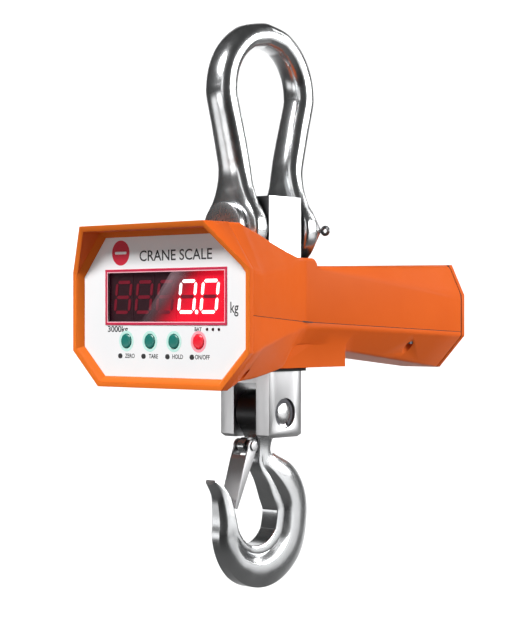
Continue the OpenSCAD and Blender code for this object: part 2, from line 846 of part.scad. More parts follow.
module rear_cover() {
    color("darkorange") difference() {
        plate_y(raised(outline(tail_half, 0)), tail_reach - lid_t, tail_reach);
        for (p = lid_screws) {
            lid_rods(p, screw_d / 2, tail_y, tail_reach + over);
            lid_rods(p, screw_head_d / 2, tail_reach - 2, tail_reach + over);
        }
        rod_y(socket_r, 30, 0, tail_reach, socket_z);
    }
}

module rear_gasket() {
    color("black") difference() {
        plate_y(raised(outline(tail_half, 0.6)), tail_y, tail_y + seal_t);
        plate_y(raised(outline(tail_half, wall + 1)), tail_y - over, tail_y + seal_t + over);
    }
}

// Cover screws, each in a tapped post of the castings
module rear_screws() {
    color("dimgray") for (p = lid_screws) {
        lid_rods(p, screw_d / 2, tail_y - lid_post + 4, tail_reach - 2);
        lid_rods(p, screw_head_d / 2, tail_reach - 2, tail_reach - 0.2);
    }
}

module charge_socket() {
    color("silver") difference() {
        union() {
            rod_y(socket_r, socket_out + flange_t + lid_t + 8, 0,
                tail_reach + (socket_out + flange_t - lid_t - 8) / 2, socket_z);
            rod_y(flange_r, flange_t, 0, tail_reach + flange_t / 2, socket_z);
        }
        rod_y(socket_r - 1.4, 12, 0, tail_reach + flange_t + socket_out, socket_z);
    }
    color("gold") for (a = [90, 210, 330])
        rod_y(0.8, 5, 2.4 * cos(a), tail_reach + flange_t + socket_out - 6 + 1.5,
            socket_z + 2.4 * sin(a));
}

module socket_nut() {
    nut_w = 17;
    y = tail_reach - lid_t - 1.5;
    color("darkgray") difference() {
        translate([0, y, socket_z]) rotate([90, 0, 0])
            cylinder(d = nut_w, h = 3, center = true, $fn = 6);
        rod_y(socket_r, 10, 0, y, socket_z);
    }
}

module cell_lead() {
    right = cell_w / 2;
    color("dimgray") lead([[right - 1, 0, gauge_z], [right + 4, 0, gauge_z], [right + 9, -4, gauge_z],
        [right + 11, -14, gauge_z - 2], [right + 11, -30, gauge_z - 6], [right + 11, -50, gauge_z - 12],
        [right + 11, -70, gauge_z - 18], [40, -82, datum_z - 18],
        [40, main_y + board_t + 8, datum_z - 18]], lead_r, 8);
}

module battery_lead() {
    z = battery_low + battery_h - 13;
    color("firebrick") lead([[-12, battery_front - 6, z], [-14, battery_front - 14, z],
        [-26, battery_front - 22, z - 8], [-38, battery_front - 34, datum_z + 8], [-40, 50, datum_z],
        [-39, 20, datum_z - 2], [-38, 0, datum_z - 3], [-38, -30, datum_z - 6], [-40, -55, datum_z - 10],
        [-46, -72, datum_z - 14], [-48, -82, datum_z - 15],
        [-48, main_y + board_t + 12, datum_z - 15]], lead_r, 8);
}

/* ---------- hook ---------- */

bush_t = 2;
hook_eye_t = clevis_gap - 2;
bowl_y = -13;
half_hook = hook_w / 2;

// Bar from the eye round the bowl to the tip: [y, z, half depth, half width]
back_t = saddle_t / 2 + 5.3;           // half depth of the bar behind the bowl
back_y = bowl_y + bowl_r + back_t - 1;
bowl_bar = [for (a = [-25:-25:-175]) let (part = (-a - 25) / 150,
    depth = back_t - 14.8 * pow(part, 1.44), r = bowl_r + depth + 3 * pow(part, 3))
    [bowl_y + r * cos(a), bowl_z + r * sin(a), depth, half_hook]];
hook_path = concat([
    [0, hook_z, hook_eye_r - 1, half_hook],
    [-0.5, hook_z - 18, 13.5, half_hook],
    [-1, hook_z - 31, 9.3, 7.4],
    [1, hook_z - 42, 12, 7.4],
    [9.5, hook_z - 50, 14.5, 9],
    [back_y - 12, bowl_z + 27, back_t - 2.5, half_hook],
    [back_y - 3, bowl_z + 14, back_t - 1, half_hook],
    [back_y, bowl_z + 1, back_t - 0.7, half_hook]],
    bowl_bar,
    [[bowl_y - bowl_r - 12.8, bowl_z + 11, 7, half_hook - 2],
    [bowl_y - bowl_r - 16.5, bowl_z + 22, 5, half_hook - 4],
    [bowl_y - bowl_r - 23.5, bowl_z + 30, 3.2, half_hook - 5.5],
    [bowl_y - bowl_r - 27, bowl_z + 32.5, 1.8, half_hook - 7]]);

latch_y = -20;
latch_z = hook_z - 28;
latch_pin_r = 2.5;
lug_w = 8;
lug_r = 7;

module hook() {
    color("silver") difference() {
        union() {
            bent_bar(hook_path, 3, 14);
            rod_x(hook_eye_r, hook_eye_t, 0, 0, hook_z);
            rod_x(lug_r, lug_w, 0, latch_y, latch_z);
            span([-lug_w / 2, latch_y, latch_z - lug_r], [lug_w / 2, 0, latch_z + lug_r]);
        }
        rod_x(hook_pin_d / 2 + bush_t, hook_eye_t + 2 * over, 0, 0, hook_z);
        rod_x(latch_pin_r, lug_w + 2 * over, 0, latch_y, latch_z);
    }
}

module hook_bush() {
    color("goldenrod") difference() {
        rod_x(hook_pin_d / 2 + bush_t, hook_eye_t, 0, 0, hook_z);
        rod_x(hook_pin_d / 2 + running, hook_eye_t + 2 * over, 0, 0, hook_z);
    }
}

groove_t = ring_t;
groove_x = cell_w / 2 - recess_t + ring_t / 2;

module hook_pin() {
    color("lightgray") difference() {
        rod_x(hook_pin_d / 2, cell_w - 1, 0, 0, hook_z);
        for (side = [-1, 1]) difference() {
            rod_x(hook_pin_d, groove_t, side * groove_x, 0, hook_z);
            rod_x(hook_pin_d / 2 - 1, groove_t + over, side * groove_x, 0, hook_z);
        }
    }
}

module pin_rings() {
    color("dimgray") for (side = [-1, 1]) difference() {
        rod_x(recess_d / 2 - 0.8, ring_t, side * groove_x, 0, hook_z);
        rod_x(hook_pin_d / 2 - 1, ring_t + over, side * groove_x, 0, hook_z);
        block([2 * ring_t, hook_pin_d * 0.5, hook_pin_d], [side * groove_x, 0, hook_z - hook_pin_d * 0.9]);
    }
}

// The latch: a pressed channel on the latch pin, closed against the inside of the hook's tip
latch_side = 7.6;                    // inside of each side plate
latch_plate = 1.5;
tip_inside = [bowl_y - bowl_r - 2.3, bowl_z + 8.5];
latch_dir = unit(tip_inside - [latch_y, latch_z]);
latch_out = [latch_dir[1], -latch_dir[0]];
latch_len = norm(tip_inside - [latch_y, latch_z]);

function on_latch(along, out) = [latch_y, latch_z] + along * latch_dir + out * latch_out;

module latch_plate_at(x, t, points) {
    translate([x - t / 2, 0, 0]) rotate([90, 0, 90]) linear_extrude(height = t) polygon(points);
}

module latch() {
    cheek = [on_latch(-1, 5.2), on_latch(14, 5.2), on_latch(latch_len, 3), on_latch(latch_len, -0.5),
        on_latch(22, -3.5), on_latch(4, -5), on_latch(-3, -4)];
    web = [on_latch(10, 5.2), on_latch(14, 5.2), on_latch(latch_len, 3),
        on_latch(latch_len, 3 - latch_plate), on_latch(14, 5.2 - latch_plate),
        on_latch(10, 5.2 - latch_plate)];
    color("gainsboro") difference() {
        union() {
            for (side = [-1, 1]) {
                latch_plate_at(side * (latch_side + latch_plate / 2), latch_plate, cheek);
                rod_x(6, latch_plate, side * (latch_side + latch_plate / 2), latch_y, latch_z);
            }
            latch_plate_at(0, 2 * latch_side + latch_plate, web);
        }
        rod_x(latch_pin_r + running, 40, 0, latch_y, latch_z);
    }
}

module latch_pin() {
    end = latch_side + latch_plate + fit;
    head_t = 1.4;
    color("gray") {
        rod_x(latch_pin_r, 2 * end, 0, latch_y, latch_z);
        for (side = [-1, 1]) rod_x(latch_pin_r + 1.7, head_t, side * (end + head_t / 2), latch_y, latch_z);
    }
}

// Coils of the latch's spring, between the lug and the side plates
module latch_spring() {
    wire_r = 0.7;
    color("dimgray") for (side = [-1, 1], i = [0, 1])
        translate([side * (lug_w / 2 + 0.9 + i * 1.45), latch_y, latch_z]) rotate([0, 90, 0])
            rotate_extrude($fn = 64) translate([latch_pin_r + 1.6, 0]) circle(r = wire_r, $fn = 16);
}

bow_shackle();
shackle_pin();
shackle_washer();
shackle_nut();
shackle_cotter();
load_cell();
pin_bush();
strain_gauges();
gauge_cover_left();
gauge_cover_right();
bracket_front();
bracket_rear();
bracket_screws();
upper_housing();
lower_housing();
housing_gasket();
housing_screws();
top_boot();
bottom_boot();
front_bezel();
display_panel();
window_frame();
display_window();
digit_modules();
lit_segments();
dark_segments();
status_lamps();
display_board();
board_posts();
key_switches();
main_board();
board_parts();
zero_key();
tare_key();
hold_key();
power_key();
battery_pack();
battery_tray();
battery_strap();
rear_cover();
rear_gasket();
rear_screws();
charge_socket();
socket_nut();
cell_lead();
battery_lead();
hook_pin();
pin_rings();
hook();
hook_bush();
latch();
latch_pin();
latch_spring();
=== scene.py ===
import bpy
import bmesh
import json
import math
import numpy as np
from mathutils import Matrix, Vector


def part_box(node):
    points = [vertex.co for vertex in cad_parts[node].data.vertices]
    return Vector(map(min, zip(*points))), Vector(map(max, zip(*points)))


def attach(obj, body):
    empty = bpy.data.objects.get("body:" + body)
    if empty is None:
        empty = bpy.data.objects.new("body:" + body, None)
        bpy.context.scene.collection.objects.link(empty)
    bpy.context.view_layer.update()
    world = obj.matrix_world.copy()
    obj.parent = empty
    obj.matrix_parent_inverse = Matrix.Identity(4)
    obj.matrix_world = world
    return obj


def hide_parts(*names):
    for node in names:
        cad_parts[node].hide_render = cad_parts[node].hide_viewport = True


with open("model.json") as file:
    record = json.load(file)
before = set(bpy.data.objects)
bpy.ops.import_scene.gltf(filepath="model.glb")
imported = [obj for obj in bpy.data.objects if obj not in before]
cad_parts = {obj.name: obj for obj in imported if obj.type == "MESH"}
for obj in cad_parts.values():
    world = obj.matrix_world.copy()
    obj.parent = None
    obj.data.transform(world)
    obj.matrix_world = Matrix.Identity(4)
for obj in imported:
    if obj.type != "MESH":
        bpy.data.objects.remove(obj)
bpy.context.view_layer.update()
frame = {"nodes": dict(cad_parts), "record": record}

MM = 0.001
MERGE = 0.002 * MM                   # points closer than this are one


# ---------- camera ----------

AZIMUTH = math.radians(42)           # the camera's turn from straight ahead of the display towards +X
DISTANCE = 1.522                     # metres from the object's upright axis
EYE_LEVEL = -0.236                   # metres; the camera looks level, so this is also its aim
SLIDE = -0.00435                     # metres to the camera's right
LENS, SENSOR = 98.44, 36             # millimetres


def make_camera():
    """Level camera ahead and to the right of the display, square to no face."""
    back = Vector((math.sin(AZIMUTH), -math.cos(AZIMUTH), 0))
    right = Vector((math.cos(AZIMUTH), math.sin(AZIMUTH), 0))
    data = bpy.data.cameras.new("camera")
    data.lens = LENS
    data.sensor_width = SENSOR
    camera = bpy.data.objects.new("camera", data)
    camera.location = back * DISTANCE + right * SLIDE + Vector((0, 0, EYE_LEVEL))
    camera.rotation_euler = (-back).to_track_quat("-Z", "Y").to_euler()
    bpy.context.scene.collection.objects.link(camera)
    bpy.context.scene.camera = camera
    bpy.context.scene.view_settings.view_transform = "Standard"


make_camera()


# ---------- sizes ----------
# In millimetres, read from the frame where the frame has them. X is to the right of whoever reads the
# display, Y runs from the display to the rear, Z is up from the inside of the shackle's crown.

def box_mm(node):
    """Lowest and highest corner of a node, in millimetres."""
    low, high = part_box(node)
    return np.array(low) / MM, np.array(high) / MM


def middle(node):
    """Middle of a node's box, in millimetres."""
    low, high = box_mm(node)
    return (low + high) / 2


PIN_Z = middle("shackle_pin")[2]
HOOK_Z = middle("hook_pin")[2]
DATUM_Z = PIN_Z - 79                 # the castings' heights are measured from here
EYE_Y, EYE_T, EYE_R = 33, 18, 32     # the shackle's eyes: place, thickness, radius
CROWN_T, BOW_R = 22, 50              # the shackle's crown: thickness, radius of its centre line
BOWL_Z, BOWL_Y, BOWL_R = HOOK_Z - 89, -13, 25
RIM_Y = -127                         # the bezel's rim; its hood reaches further forward
PANEL_Y = box_mm("display_panel")[0][1]
SHELL_Y = box_mm("display_panel")[1][1]
TAIL_Y = box_mm("rear_gasket")[0][1]
BODY_W, HEAD_W, FLAT_W = 50, 102, 71  # half widths: body, head, and the head's flat top
HEAD_TOP, HEAD_FOOT = 78, -56
CHAMFER_TOP, CHAMFER_FOOT = HEAD_TOP - 38, HEAD_FOOT + 30
STRIP, STRIP_IN = 31, 13             # the straight strip behind the rim, and how far it draws in
BEND_Y = RIM_Y + STRIP
WALL = 4.0                           # the castings' thickness


# ---------- meshes ----------

def add_object(name, vertices, faces):
    """A mesh object from points in millimetres and a list of faces, with its faces turned outwards."""
    mesh = bpy.data.meshes.new(name)
    mesh.from_pydata((np.asarray(vertices) * MM).tolist(), [], [list(map(int, f)) for f in faces])
    shape = bmesh.new()
    shape.from_mesh(mesh)
    bmesh.ops.remove_doubles(shape, verts=shape.verts, dist=MERGE)
    bmesh.ops.recalc_face_normals(shape, faces=shape.faces)
    shape.to_mesh(mesh)
    shape.free()
    obj = bpy.data.objects.new(name, mesh)
    bpy.context.scene.collection.objects.link(obj)
    return obj


def loft(rings, ends=True, around=True):
    """Quads between neighbouring rings, each ring an equal row of points; ends are fans."""
    m, n = rings.shape[:2]
    grid = np.arange(m * n).reshape(m, n)
    turned = np.roll(grid, -1, 1)
    if not around:
        grid, turned = grid[:, :-1], turned[:, :-1]
    quads = np.stack([grid[:-1], turned[:-1], turned[1:], grid[1:]], -1).reshape(-1, 4)
    points = rings.reshape(-1, 3)
    faces = quads.tolist()
    if ends:
        points = np.vstack([points, rings[0].mean(0), rings[-1].mean(0)])
        faces += np.stack([turned[0], grid[0], np.full(n, m * n)], -1).tolist()
        faces += np.stack([grid[-1], turned[-1], np.full(n, m * n + 1)], -1).tolist()
    return points, faces


def settle(obj):
    """Turns the object's modifiers into plain mesh."""
    graph = bpy.context.evaluated_depsgraph_get()
    mesh = bpy.data.meshes.new_from_object(obj.evaluated_get(graph))
    obj.modifiers.clear()
    obj.data = mesh
    return obj


def combine(target, tool, operation="DIFFERENCE"):
    """Cuts, joins or keeps what two closed shapes share."""
    step = target.modifiers.new("combine", "BOOLEAN")
    step.operation, step.object, step.solver = operation, tool, "EXACT"
    settle(target)
    bpy.data.objects.remove(tool)
    return target


def soften(obj, width, segments=2, angle=30):
    """Merges flat neighbours and rounds the sharp edges by a width in millimetres."""
    shape = bmesh.new()
    shape.from_mesh(obj.data)
    bmesh.ops.remove_doubles(shape, verts=shape.verts, dist=0.003 * MM)
    bmesh.ops.dissolve_limit(shape, angle_limit=math.radians(0.8), verts=shape.verts, edges=shape.edges)
    shape.to_mesh(obj.data)
    shape.free()
    if width:
        step = obj.modifiers.new("soften", "BEVEL")
        step.width, step.segments = width * MM, segments
        step.limit_method, step.angle_limit = "ANGLE", math.radians(angle)
        settle(obj)
    return smooth(obj, angle)


def smooth(obj, angle=30):
    """Smooth shading, kept crisp where faces meet at more than the angle."""
    obj.data.polygons.foreach_set("use_smooth", np.ones(len(obj.data.polygons), bool))
    obj.data.set_sharp_from_angle(angle=math.radians(angle))
    return obj


def finish_piece(obj, body, material, *stands_for, slot=None):
    """Gives a piece its material and body, and hides the nodes it stands for."""
    obj.data.materials.clear()
    obj.data.materials.append(material)
    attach(obj, body)
    if stands_for:
        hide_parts(*stands_for)
    return obj


def copy_node(node, name):
    """A copy of a node's mesh, free to be finished."""
    obj = bpy.data.objects.new(name, frame["nodes"][node].data.copy())
    bpy.context.scene.collection.objects.link(obj)
    return obj


def refined(node, body, material, width, segments=2, angle=30):
    """A node's own shape with its edges rounded."""
    obj = soften(copy_node(node, node + "_finished"), width, segments, angle)
    return finish_piece(obj, body, material, node)


# ---------- curves and sections ----------

def refine(stations, steps):
    """Catmull-Rom curve through the stations, each gap cut into equal steps."""
    p = np.asarray(stations, float)
    ends = np.vstack([p[:1], p, p[-1:]])
    t = np.linspace(0, 1, steps, endpoint=False)[None, :, None]
    a, b, c, d = (ends[i:len(ends) - 3 + i][:, None, :] for i in range(4))
    curve = 0.5 * (2 * b + (c - a) * t + (2 * a - 5 * b + 4 * c - d) * t ** 2
                   + (3 * b - a - 3 * c + d) * t ** 3)
    return np.vstack([curve.reshape(-1, p.shape[1]), p[-1:]])


def through(y, stations, values):
    """Cubic through the stations that never overshoots: slopes are harmonic means.

    Between two stations the value is a Hermite cubic of both values and both slopes; a station's
    slope is 2ab / (a + b) of the slopes a and b beside it, and 0 where they differ in sign.
    """
    stations, values = np.asarray(stations, float), np.asarray(values, float)
    h = np.diff(stations)
    slope = np.diff(values, axis=0) / h[:, None]
    both = slope[:-1] * slope[1:]
    total = np.where(both > 0, slope[:-1] + slope[1:], 1)
    inner = np.where(both > 0, 2 * both / total, 0)
    m = np.vstack([slope[:1], inner, slope[-1:]])
    i = np.clip(np.searchsorted(stations, y, side="right") - 1, 0, len(h) - 1)
    t = ((y - stations[i]) / h[i])[:, None]
    g = h[i][:, None]
    return ((1 + 2 * t) * (1 - t) ** 2 * values[i] + t * (1 - t) ** 2 * g * m[i]
            + t * t * (3 - 2 * t) * values[i + 1] + t * t * (t - 1) * g * m[i + 1])


def oval(half_width, half_depth, power, count):
    """Superellipse for each ring: |x / width|^p + |y / depth|^p = 1, round at p = 2, square at 6."""
    t = np.linspace(0, 2 * np.pi, count, endpoint=False)[None, :]
    c, s = np.cos(t), np.sin(t)
    e = 2 / power[:, None]
    return (half_width[:, None] * np.sign(s) * np.abs(s) ** e,
            half_depth[:, None] * np.sign(c) * np.abs(c) ** e)


def swept_bar(path, half_depth, half_width, power, count):
    """A bar along a path in the Y-Z plane, its oval section square to the path."""
    tangent = np.gradient(path, axis=0)
    tangent /= np.linalg.norm(tangent, axis=1)[:, None]
    normal = np.stack([-tangent[:, 1], tangent[:, 0]], 1)
    x, d = oval(half_width, half_depth, power, count)
    return np.stack([x, path[:, :1] + d * normal[:, :1], path[:, 1:] + d * normal[:, 1:]], 2)


def rounded(corners, reach, steps=6):
    """Outlines whose corners are parabolas tangent to both sides, starting `reach` from the corner.

    A parabola takes at most 0.47 of either side, so two neighbours never meet.
    """
    before = np.roll(corners, 1, 1) - corners
    after = np.roll(corners, -1, 1) - corners
    length_a = np.linalg.norm(before, axis=2, keepdims=True)
    length_b = np.linalg.norm(after, axis=2, keepdims=True)
    r = np.minimum(reach[..., None], 0.47 * np.minimum(length_a, length_b))
    a, b = corners + before / length_a * r, corners + after / length_b * r
    t = np.linspace(0, 1, steps)[None, None, :, None]
    arc = (1 - t) ** 2 * a[:, :, None] + 2 * t * (1 - t) * corners[:, :, None] + t * t * b[:, :, None]
    return arc.reshape(len(corners), -1, 2)


def drawn_in(corners, inset):
    """Outlines moved inwards by an even distance.

    A corner moves by the inset times the sum of its sides' inward normals over 1 plus their product.
    """
    side = np.roll(corners, -1, 1) - corners
    side /= np.linalg.norm(side, axis=2, keepdims=True)
    inward = np.stack([side[..., 1], -side[..., 0]], 2)
    last = np.roll(inward, 1, 1)
    return corners + inset * (inward + last) / (1 + (inward * last).sum(2, keepdims=True))


def prism_y(outline, front, back):
    """A closed prism along Y from an outline in X-Z."""
    outline = np.asarray(outline, float)
    rings = np.stack([np.column_stack([outline[:, 0], np.full(len(outline), y), outline[:, 1]])
                      for y in (front, back)])
    return loft(rings)


def slab(low, high):
    """A plain box used for cutting."""
    low, high = np.asarray(low, float), np.asarray(high, float)
    outline = [[low[0], low[2]], [high[0], low[2]], [high[0], high[2]], [low[0], high[2]]]
    return prism_y(outline, low[1], high[1])


def turned(profile, axis, at, count=64):
    """A shape turned about an axis: the profile lists [radius, distance along the axis]."""
    profile = np.asarray(profile, float)
    t = np.linspace(0, 2 * np.pi, count, endpoint=False)[None, :]
    r, h = profile[:, :1], profile[:, 1:] + 0 * t
    u, v = r * np.cos(t), r * np.sin(t)
    order = {"x": (h, u, v), "y": (u, h, v), "z": (u, v, h)}[axis]
    return loft(np.stack(order, 2) + np.asarray(at, float))


def tube(path, radius, sides=12):
    """A round wire along points, its section squared to one fixed direction, so it never twists."""
    path = np.asarray(path, float)
    tangent = np.gradient(path, axis=0)
    tangent /= np.linalg.norm(tangent, axis=1)[:, None]
    side = np.cross(tangent, [0.02, 0.03, 1.0])
    side /= np.linalg.norm(side, axis=1)[:, None]
    up = np.cross(tangent, side)
    t = np.linspace(0, 2 * np.pi, sides, endpoint=False)
    return loft(path[:, None] + radius * (np.cos(t)[None, :, None] * side[:, None]
                                          + np.sin(t)[None, :, None] * up[:, None]))


# ---------- shader maths ----------

class Value:
    """A shader socket that takes part in ordinary arithmetic."""

    def __init__(self, shader, socket):
        """The material being built and the socket that carries the value."""
        self.shader, self.socket = shader, socket

    def math(self, operation, *values):
        """One maths node."""
        return self.shader.node("ShaderNodeMath", {"operation": operation}, *values)

    def __add__(self, other): return self.math("ADD", self, other)
    def __radd__(self, other): return self.math("ADD", other, self)
    def __sub__(self, other): return self.math("SUBTRACT", self, other)
    def __rsub__(self, other): return self.math("SUBTRACT", other, self)
    def __mul__(self, other): return self.math("MULTIPLY", self, other)
    def __rmul__(self, other): return self.math("MULTIPLY", other, self)
    def __abs__(self): return self.math("ABSOLUTE", self)

    def step(self, low, high):
        """0 below low, 1 above high, smooth between."""
        return self.shader.node("ShaderNodeMapRange", {"interpolation_type": "SMOOTHSTEP"},
                                self, low, high, 0.0, 1.0)


class Shader:
    """A material under construction."""

    def __init__(self, name):
        """A new material with its one surface node."""
        self.material = bpy.data.materials.new(name)
        self.material.use_nodes = True
        self.tree = self.material.node_tree
        self.surface = self.tree.nodes["Principled BSDF"]

    def put(self, socket, value):
        """Links a value to a socket, or sets it when it is plain."""
        if isinstance(value, Value):
            self.tree.links.new(value.socket, socket)
        elif value is not None:
            socket.default_value = value

    def node(self, kind, settings=None, *inputs, output=0, **named):
        """Adds a node; its settings come first, then its inputs by place or by name."""
        made = self.tree.nodes.new(kind)
        for key, value in (settings or {}).items():
            setattr(made, key, value)
        for place, value in enumerate(inputs):
            self.put(made.inputs[place], value)
        for key, value in named.items():
            self.put(made.inputs[key.replace("_", " ")], value)
        return Value(self, made.outputs[output])

    def place(self, stretch=(1, 1, 1)):
        """Object coordinates, stretched where a grain runs one way."""
        where = self.node("ShaderNodeTexCoord", output=3)
        if stretch == (1, 1, 1):
            return where
        return self.node("ShaderNodeMapping", None, Vector=where, Scale=stretch)

    def noise(self, scale, detail=3.0, stretch=(1, 1, 1)):
        """Fractal noise with about `scale` lumps to the metre, between 0 and 1."""
        return self.node("ShaderNodeTexNoise", None, Vector=self.place(stretch), Scale=scale,
                         Detail=detail)

    def axis(self, index):
        """One object coordinate, in millimetres."""
        parts = self.node("ShaderNodeSeparateXYZ", None, self.place(), output=index)
        return parts * 1000

    def mix(self, factor, a, b):
        """Blends two colours."""
        made = self.tree.nodes.new("ShaderNodeMix")
        made.data_type = "RGBA"
        self.put(made.inputs[0], factor)
        self.put(made.inputs[6], a)
        self.put(made.inputs[7], b)
        return Value(self, made.outputs[2])

    def bump(self, height, strength, distance):
        """Relief from a height between 0 and 1, its depth in millimetres."""
        return self.node("ShaderNodeBump", None, Strength=strength, Distance=distance * MM,
                         Height=height)

    def finish(self, **sockets):
        """Sets the surface's own sockets and hands the material over."""
        for key, value in sockets.items():
            self.put(self.surface.inputs[key.replace("_", " ")], value)
        return self.material


def rgb(r, g, b):
    """A solid colour, in linear light."""
    return (r, g, b, 1.0)


# ---------- materials ----------

CELL_HEAD_PAINTED_SHADE = rgb(0.05, 0.05, 0.052)   # painted shade on the load cell head's front and rear faces, where the shackle's eyes stand close before them
HOOK_EYE_PAINTED_SHADE = rgb(0.06, 0.06, 0.062)     # painted shade on the hook's eye, up between the clevis cheeks
EYE_PAINTED_SHADE_FADE = 21, 13                       # below the hook pin: where the painted shade starts, where it is full
CELL_FACE = 20.6, 20.85                  # just inside the load cell's front and rear faces
CELL_HEAD = -196, -186                   # where the load cell's head rises out of the housing


def orange_enamel():
    """Stoved enamel over a sand casting: a fine orange peel and a slow colour drift."""
    s = Shader("orange_enamel")
    drift = s.noise(14, 3)
    peel = s.noise(420, 2)
    sand = s.noise(1500, 2)
    colour = s.mix(drift, rgb(0.73, 0.112, 0.012), rgb(0.84, 0.148, 0.018))
    return s.finish(Base_Color=colour, Roughness=0.42 + 0.12 * s.noise(90, 3),
                    Specular_IOR_Level=0.08, Normal=s.bump(peel * 0.7 + sand * 0.3, 0.22, 0.35))


def rim_painted_light():
    """The same enamel, brighter, for the bezel's forward faces: painted light where the front lamps
    fall.
    """
    s = Shader("rim_painted_light")
    colour = s.mix(s.noise(18, 3), rgb(0.72, 0.145, 0.016), rgb(0.80, 0.18, 0.022))
    return s.finish(Base_Color=colour, Roughness=0.40 + 0.10 * s.noise(90, 3),
                    Specular_IOR_Level=0.08, Normal=s.bump(s.noise(420, 2), 0.18, 0.3))


def forged_steel():
    """Polished forging: soft waves left by the hammer under a fine buffing grain."""
    s = Shader("forged_steel")
    waves = s.noise(38, 2, (1, 1, 0.45))
    buff = s.noise(900, 3, (1, 1, 0.12))
    grey = s.mix(s.noise(60, 4), rgb(0.60, 0.61, 0.62), rgb(0.74, 0.75, 0.76))
    return s.finish(Base_Color=grey, Metallic=1.0, Roughness=0.16 + 0.14 * s.noise(120, 4),
                    Normal=s.bump(waves * 0.9 + buff * 0.03, 0.35, 1.6))


def hook_steel():
    """The same polished forging; its eye, up in the clevis, is darkened with painted shade between the
    cheeks.
    """
    s = Shader("hook_steel")
    # painted shade: the eye goes dark above this height, where the clevis cheeks close round it
    black = s.axis(2).step(float(HOOK_Z) - EYE_PAINTED_SHADE_FADE[0], float(HOOK_Z) - EYE_PAINTED_SHADE_FADE[1])
    waves = s.noise(38, 2, (1, 1, 0.45))
    grey = s.mix(s.noise(60, 4), rgb(0.60, 0.61, 0.62), rgb(0.74, 0.75, 0.76))
    return s.finish(Base_Color=s.mix(black, grey, HOOK_EYE_PAINTED_SHADE), Metallic=1.0,
                    Roughness=0.17 + 0.12 * s.noise(120, 4) + 0.16 * black,
                    Normal=s.bump(waves, 0.3, 1.4))


def ground_steel(name="ground_steel", bright=0.72, rough=0.28, stretch=(1, 1, 0.04)):
    """Surface-ground and nickel plated: fine parallel lines, and painted shade on the load cell head's
    front and rear faces.
    """
    s = Shader(name)
    lines = s.noise(2600, 2, stretch)
    shade = s.mix(s.noise(45, 3), rgb(bright - 0.08, bright - 0.08, bright - 0.07),
                  rgb(bright, bright, bright + 0.01))
    # painted shade: the load cell head's front and rear faces darken where the shackle's eyes stand
    # before them
    black = abs(s.axis(1)).step(*CELL_FACE) * s.axis(2).step(*CELL_HEAD)
    return s.finish(Base_Color=s.mix(black, shade, CELL_HEAD_PAINTED_SHADE), Metallic=1.0,
                    Roughness=rough + 0.12 * lines + 0.14 * black, Normal=s.bump(lines, 0.10, 0.08))


def turned_steel(name="turned_steel", bright=0.70, rough=0.22):
    """Lathe-turned and zinc plated."""
    s = Shader(name)
    rings = s.noise(1800, 2, (0.2, 1, 0.2))
    shade = s.mix(s.noise(80, 3), rgb(bright - 0.1, bright - 0.1, bright - 0.09),
                  rgb(bright, bright, bright + 0.01))
    return s.finish(Base_Color=shade, Metallic=1.0, Roughness=rough + 0.12 * rings,
                    Normal=s.bump(rings, 0.12, 0.06))


def plain(name, low, high, rough, scale=60, bump=0.1, grain=900, metallic=0.0, coat=0.0):
    """A moulded, cast or rubber finish: two close colours, a grain and its own roughness."""
    s = Shader(name)
    return s.finish(Base_Color=s.mix(s.noise(scale, 3), rgb(*low), rgb(*high)), Metallic=metallic,
                    Roughness=rough + 0.10 * s.noise(grain / 3, 3), Coat_Weight=coat,
                    Normal=s.bump(s.noise(grain, 2), bump, 0.12))


def white_film():
    """Printed polyester film over the display panel."""
    s = Shader("white_film")
    tone = s.mix(s.noise(24, 2), rgb(0.80, 0.81, 0.82), rgb(0.85, 0.85, 0.86))
    return s.finish(Base_Color=tone, Roughness=0.38 + 0.08 * s.noise(700, 2),
                    Normal=s.bump(s.noise(1400, 2), 0.06, 0.05))


WINDOW_LOW, WINDOW_HIGH = box_mm("display_window")
SHEEN_X = WINDOW_LOW[0] + 40         # foot of the painted sheen, a reflection painted slanting across the window
SHEEN_LEAN = 0.86                    # how far it leans to the right for each millimetre up


def slanted(s):
    """Distance to the right of a line that leans across the window: x - lean * height - its foot."""
    return s.axis(0) - (s.axis(2) - float(WINDOW_LOW[2])) * SHEEN_LEAN - float(SHEEN_X)


def window_filter():
    """Smoked red acrylic; a painted reflection, a slanted sheen, crosses it in colour and opacity."""
    s = Shader("window_filter")
    across = slanted(s)
    height = s.axis(2).step(float(WINDOW_LOW[2]), float(WINDOW_HIGH[2]))
    # painted reflection: a pale streak right of the slanted line, fading to the right and downwards
    sheen = across.step(-0.3, 0.3) * (1 - across.step(3, 30)) * (0.35 + 0.65 * height)
    colour = s.mix(sheen, rgb(0.012, 0.001, 0.003), rgb(0.34, 0.22, 0.25))
    return s.finish(Base_Color=colour, Roughness=0.06 + 0.04 * s.noise(300, 2),
                    Alpha=0.16 + 0.26 * sheen)


def led_field():
    """Face of the LED modules: dark where unlit; right of the slanted line a painted red glow, in
    colour and emission, stands for the light of the lit digits.
    """
    s = Shader("led_field")
    # painted glow: the module face glows red right of the slanted line, and very faintly left of it
    lit = slanted(s).step(0, 46)
    grain = s.noise(700, 2)
    colour = s.mix(lit, rgb(0.028, 0.006, 0.010), rgb(0.75, 0.002, 0.025))
    glow = s.mix(lit, rgb(0.010, 0.001, 0.004), rgb(0.86, 0.0, 0.022))
    return s.finish(Base_Color=colour, Roughness=0.45 + 0.1 * grain, Emission_Color=glow,
                    Emission_Strength=0.85)


def led_lit():
    """A lit bar, its colour and glow varying a little from place to place."""
    s = Shader("led_lit")
    colour = s.mix(s.noise(500, 2), rgb(1.0, 0.86, 0.88), rgb(1.0, 0.97, 0.97))
    return s.finish(Base_Color=colour, Roughness=0.4, Emission_Color=colour, Emission_Strength=2.2)


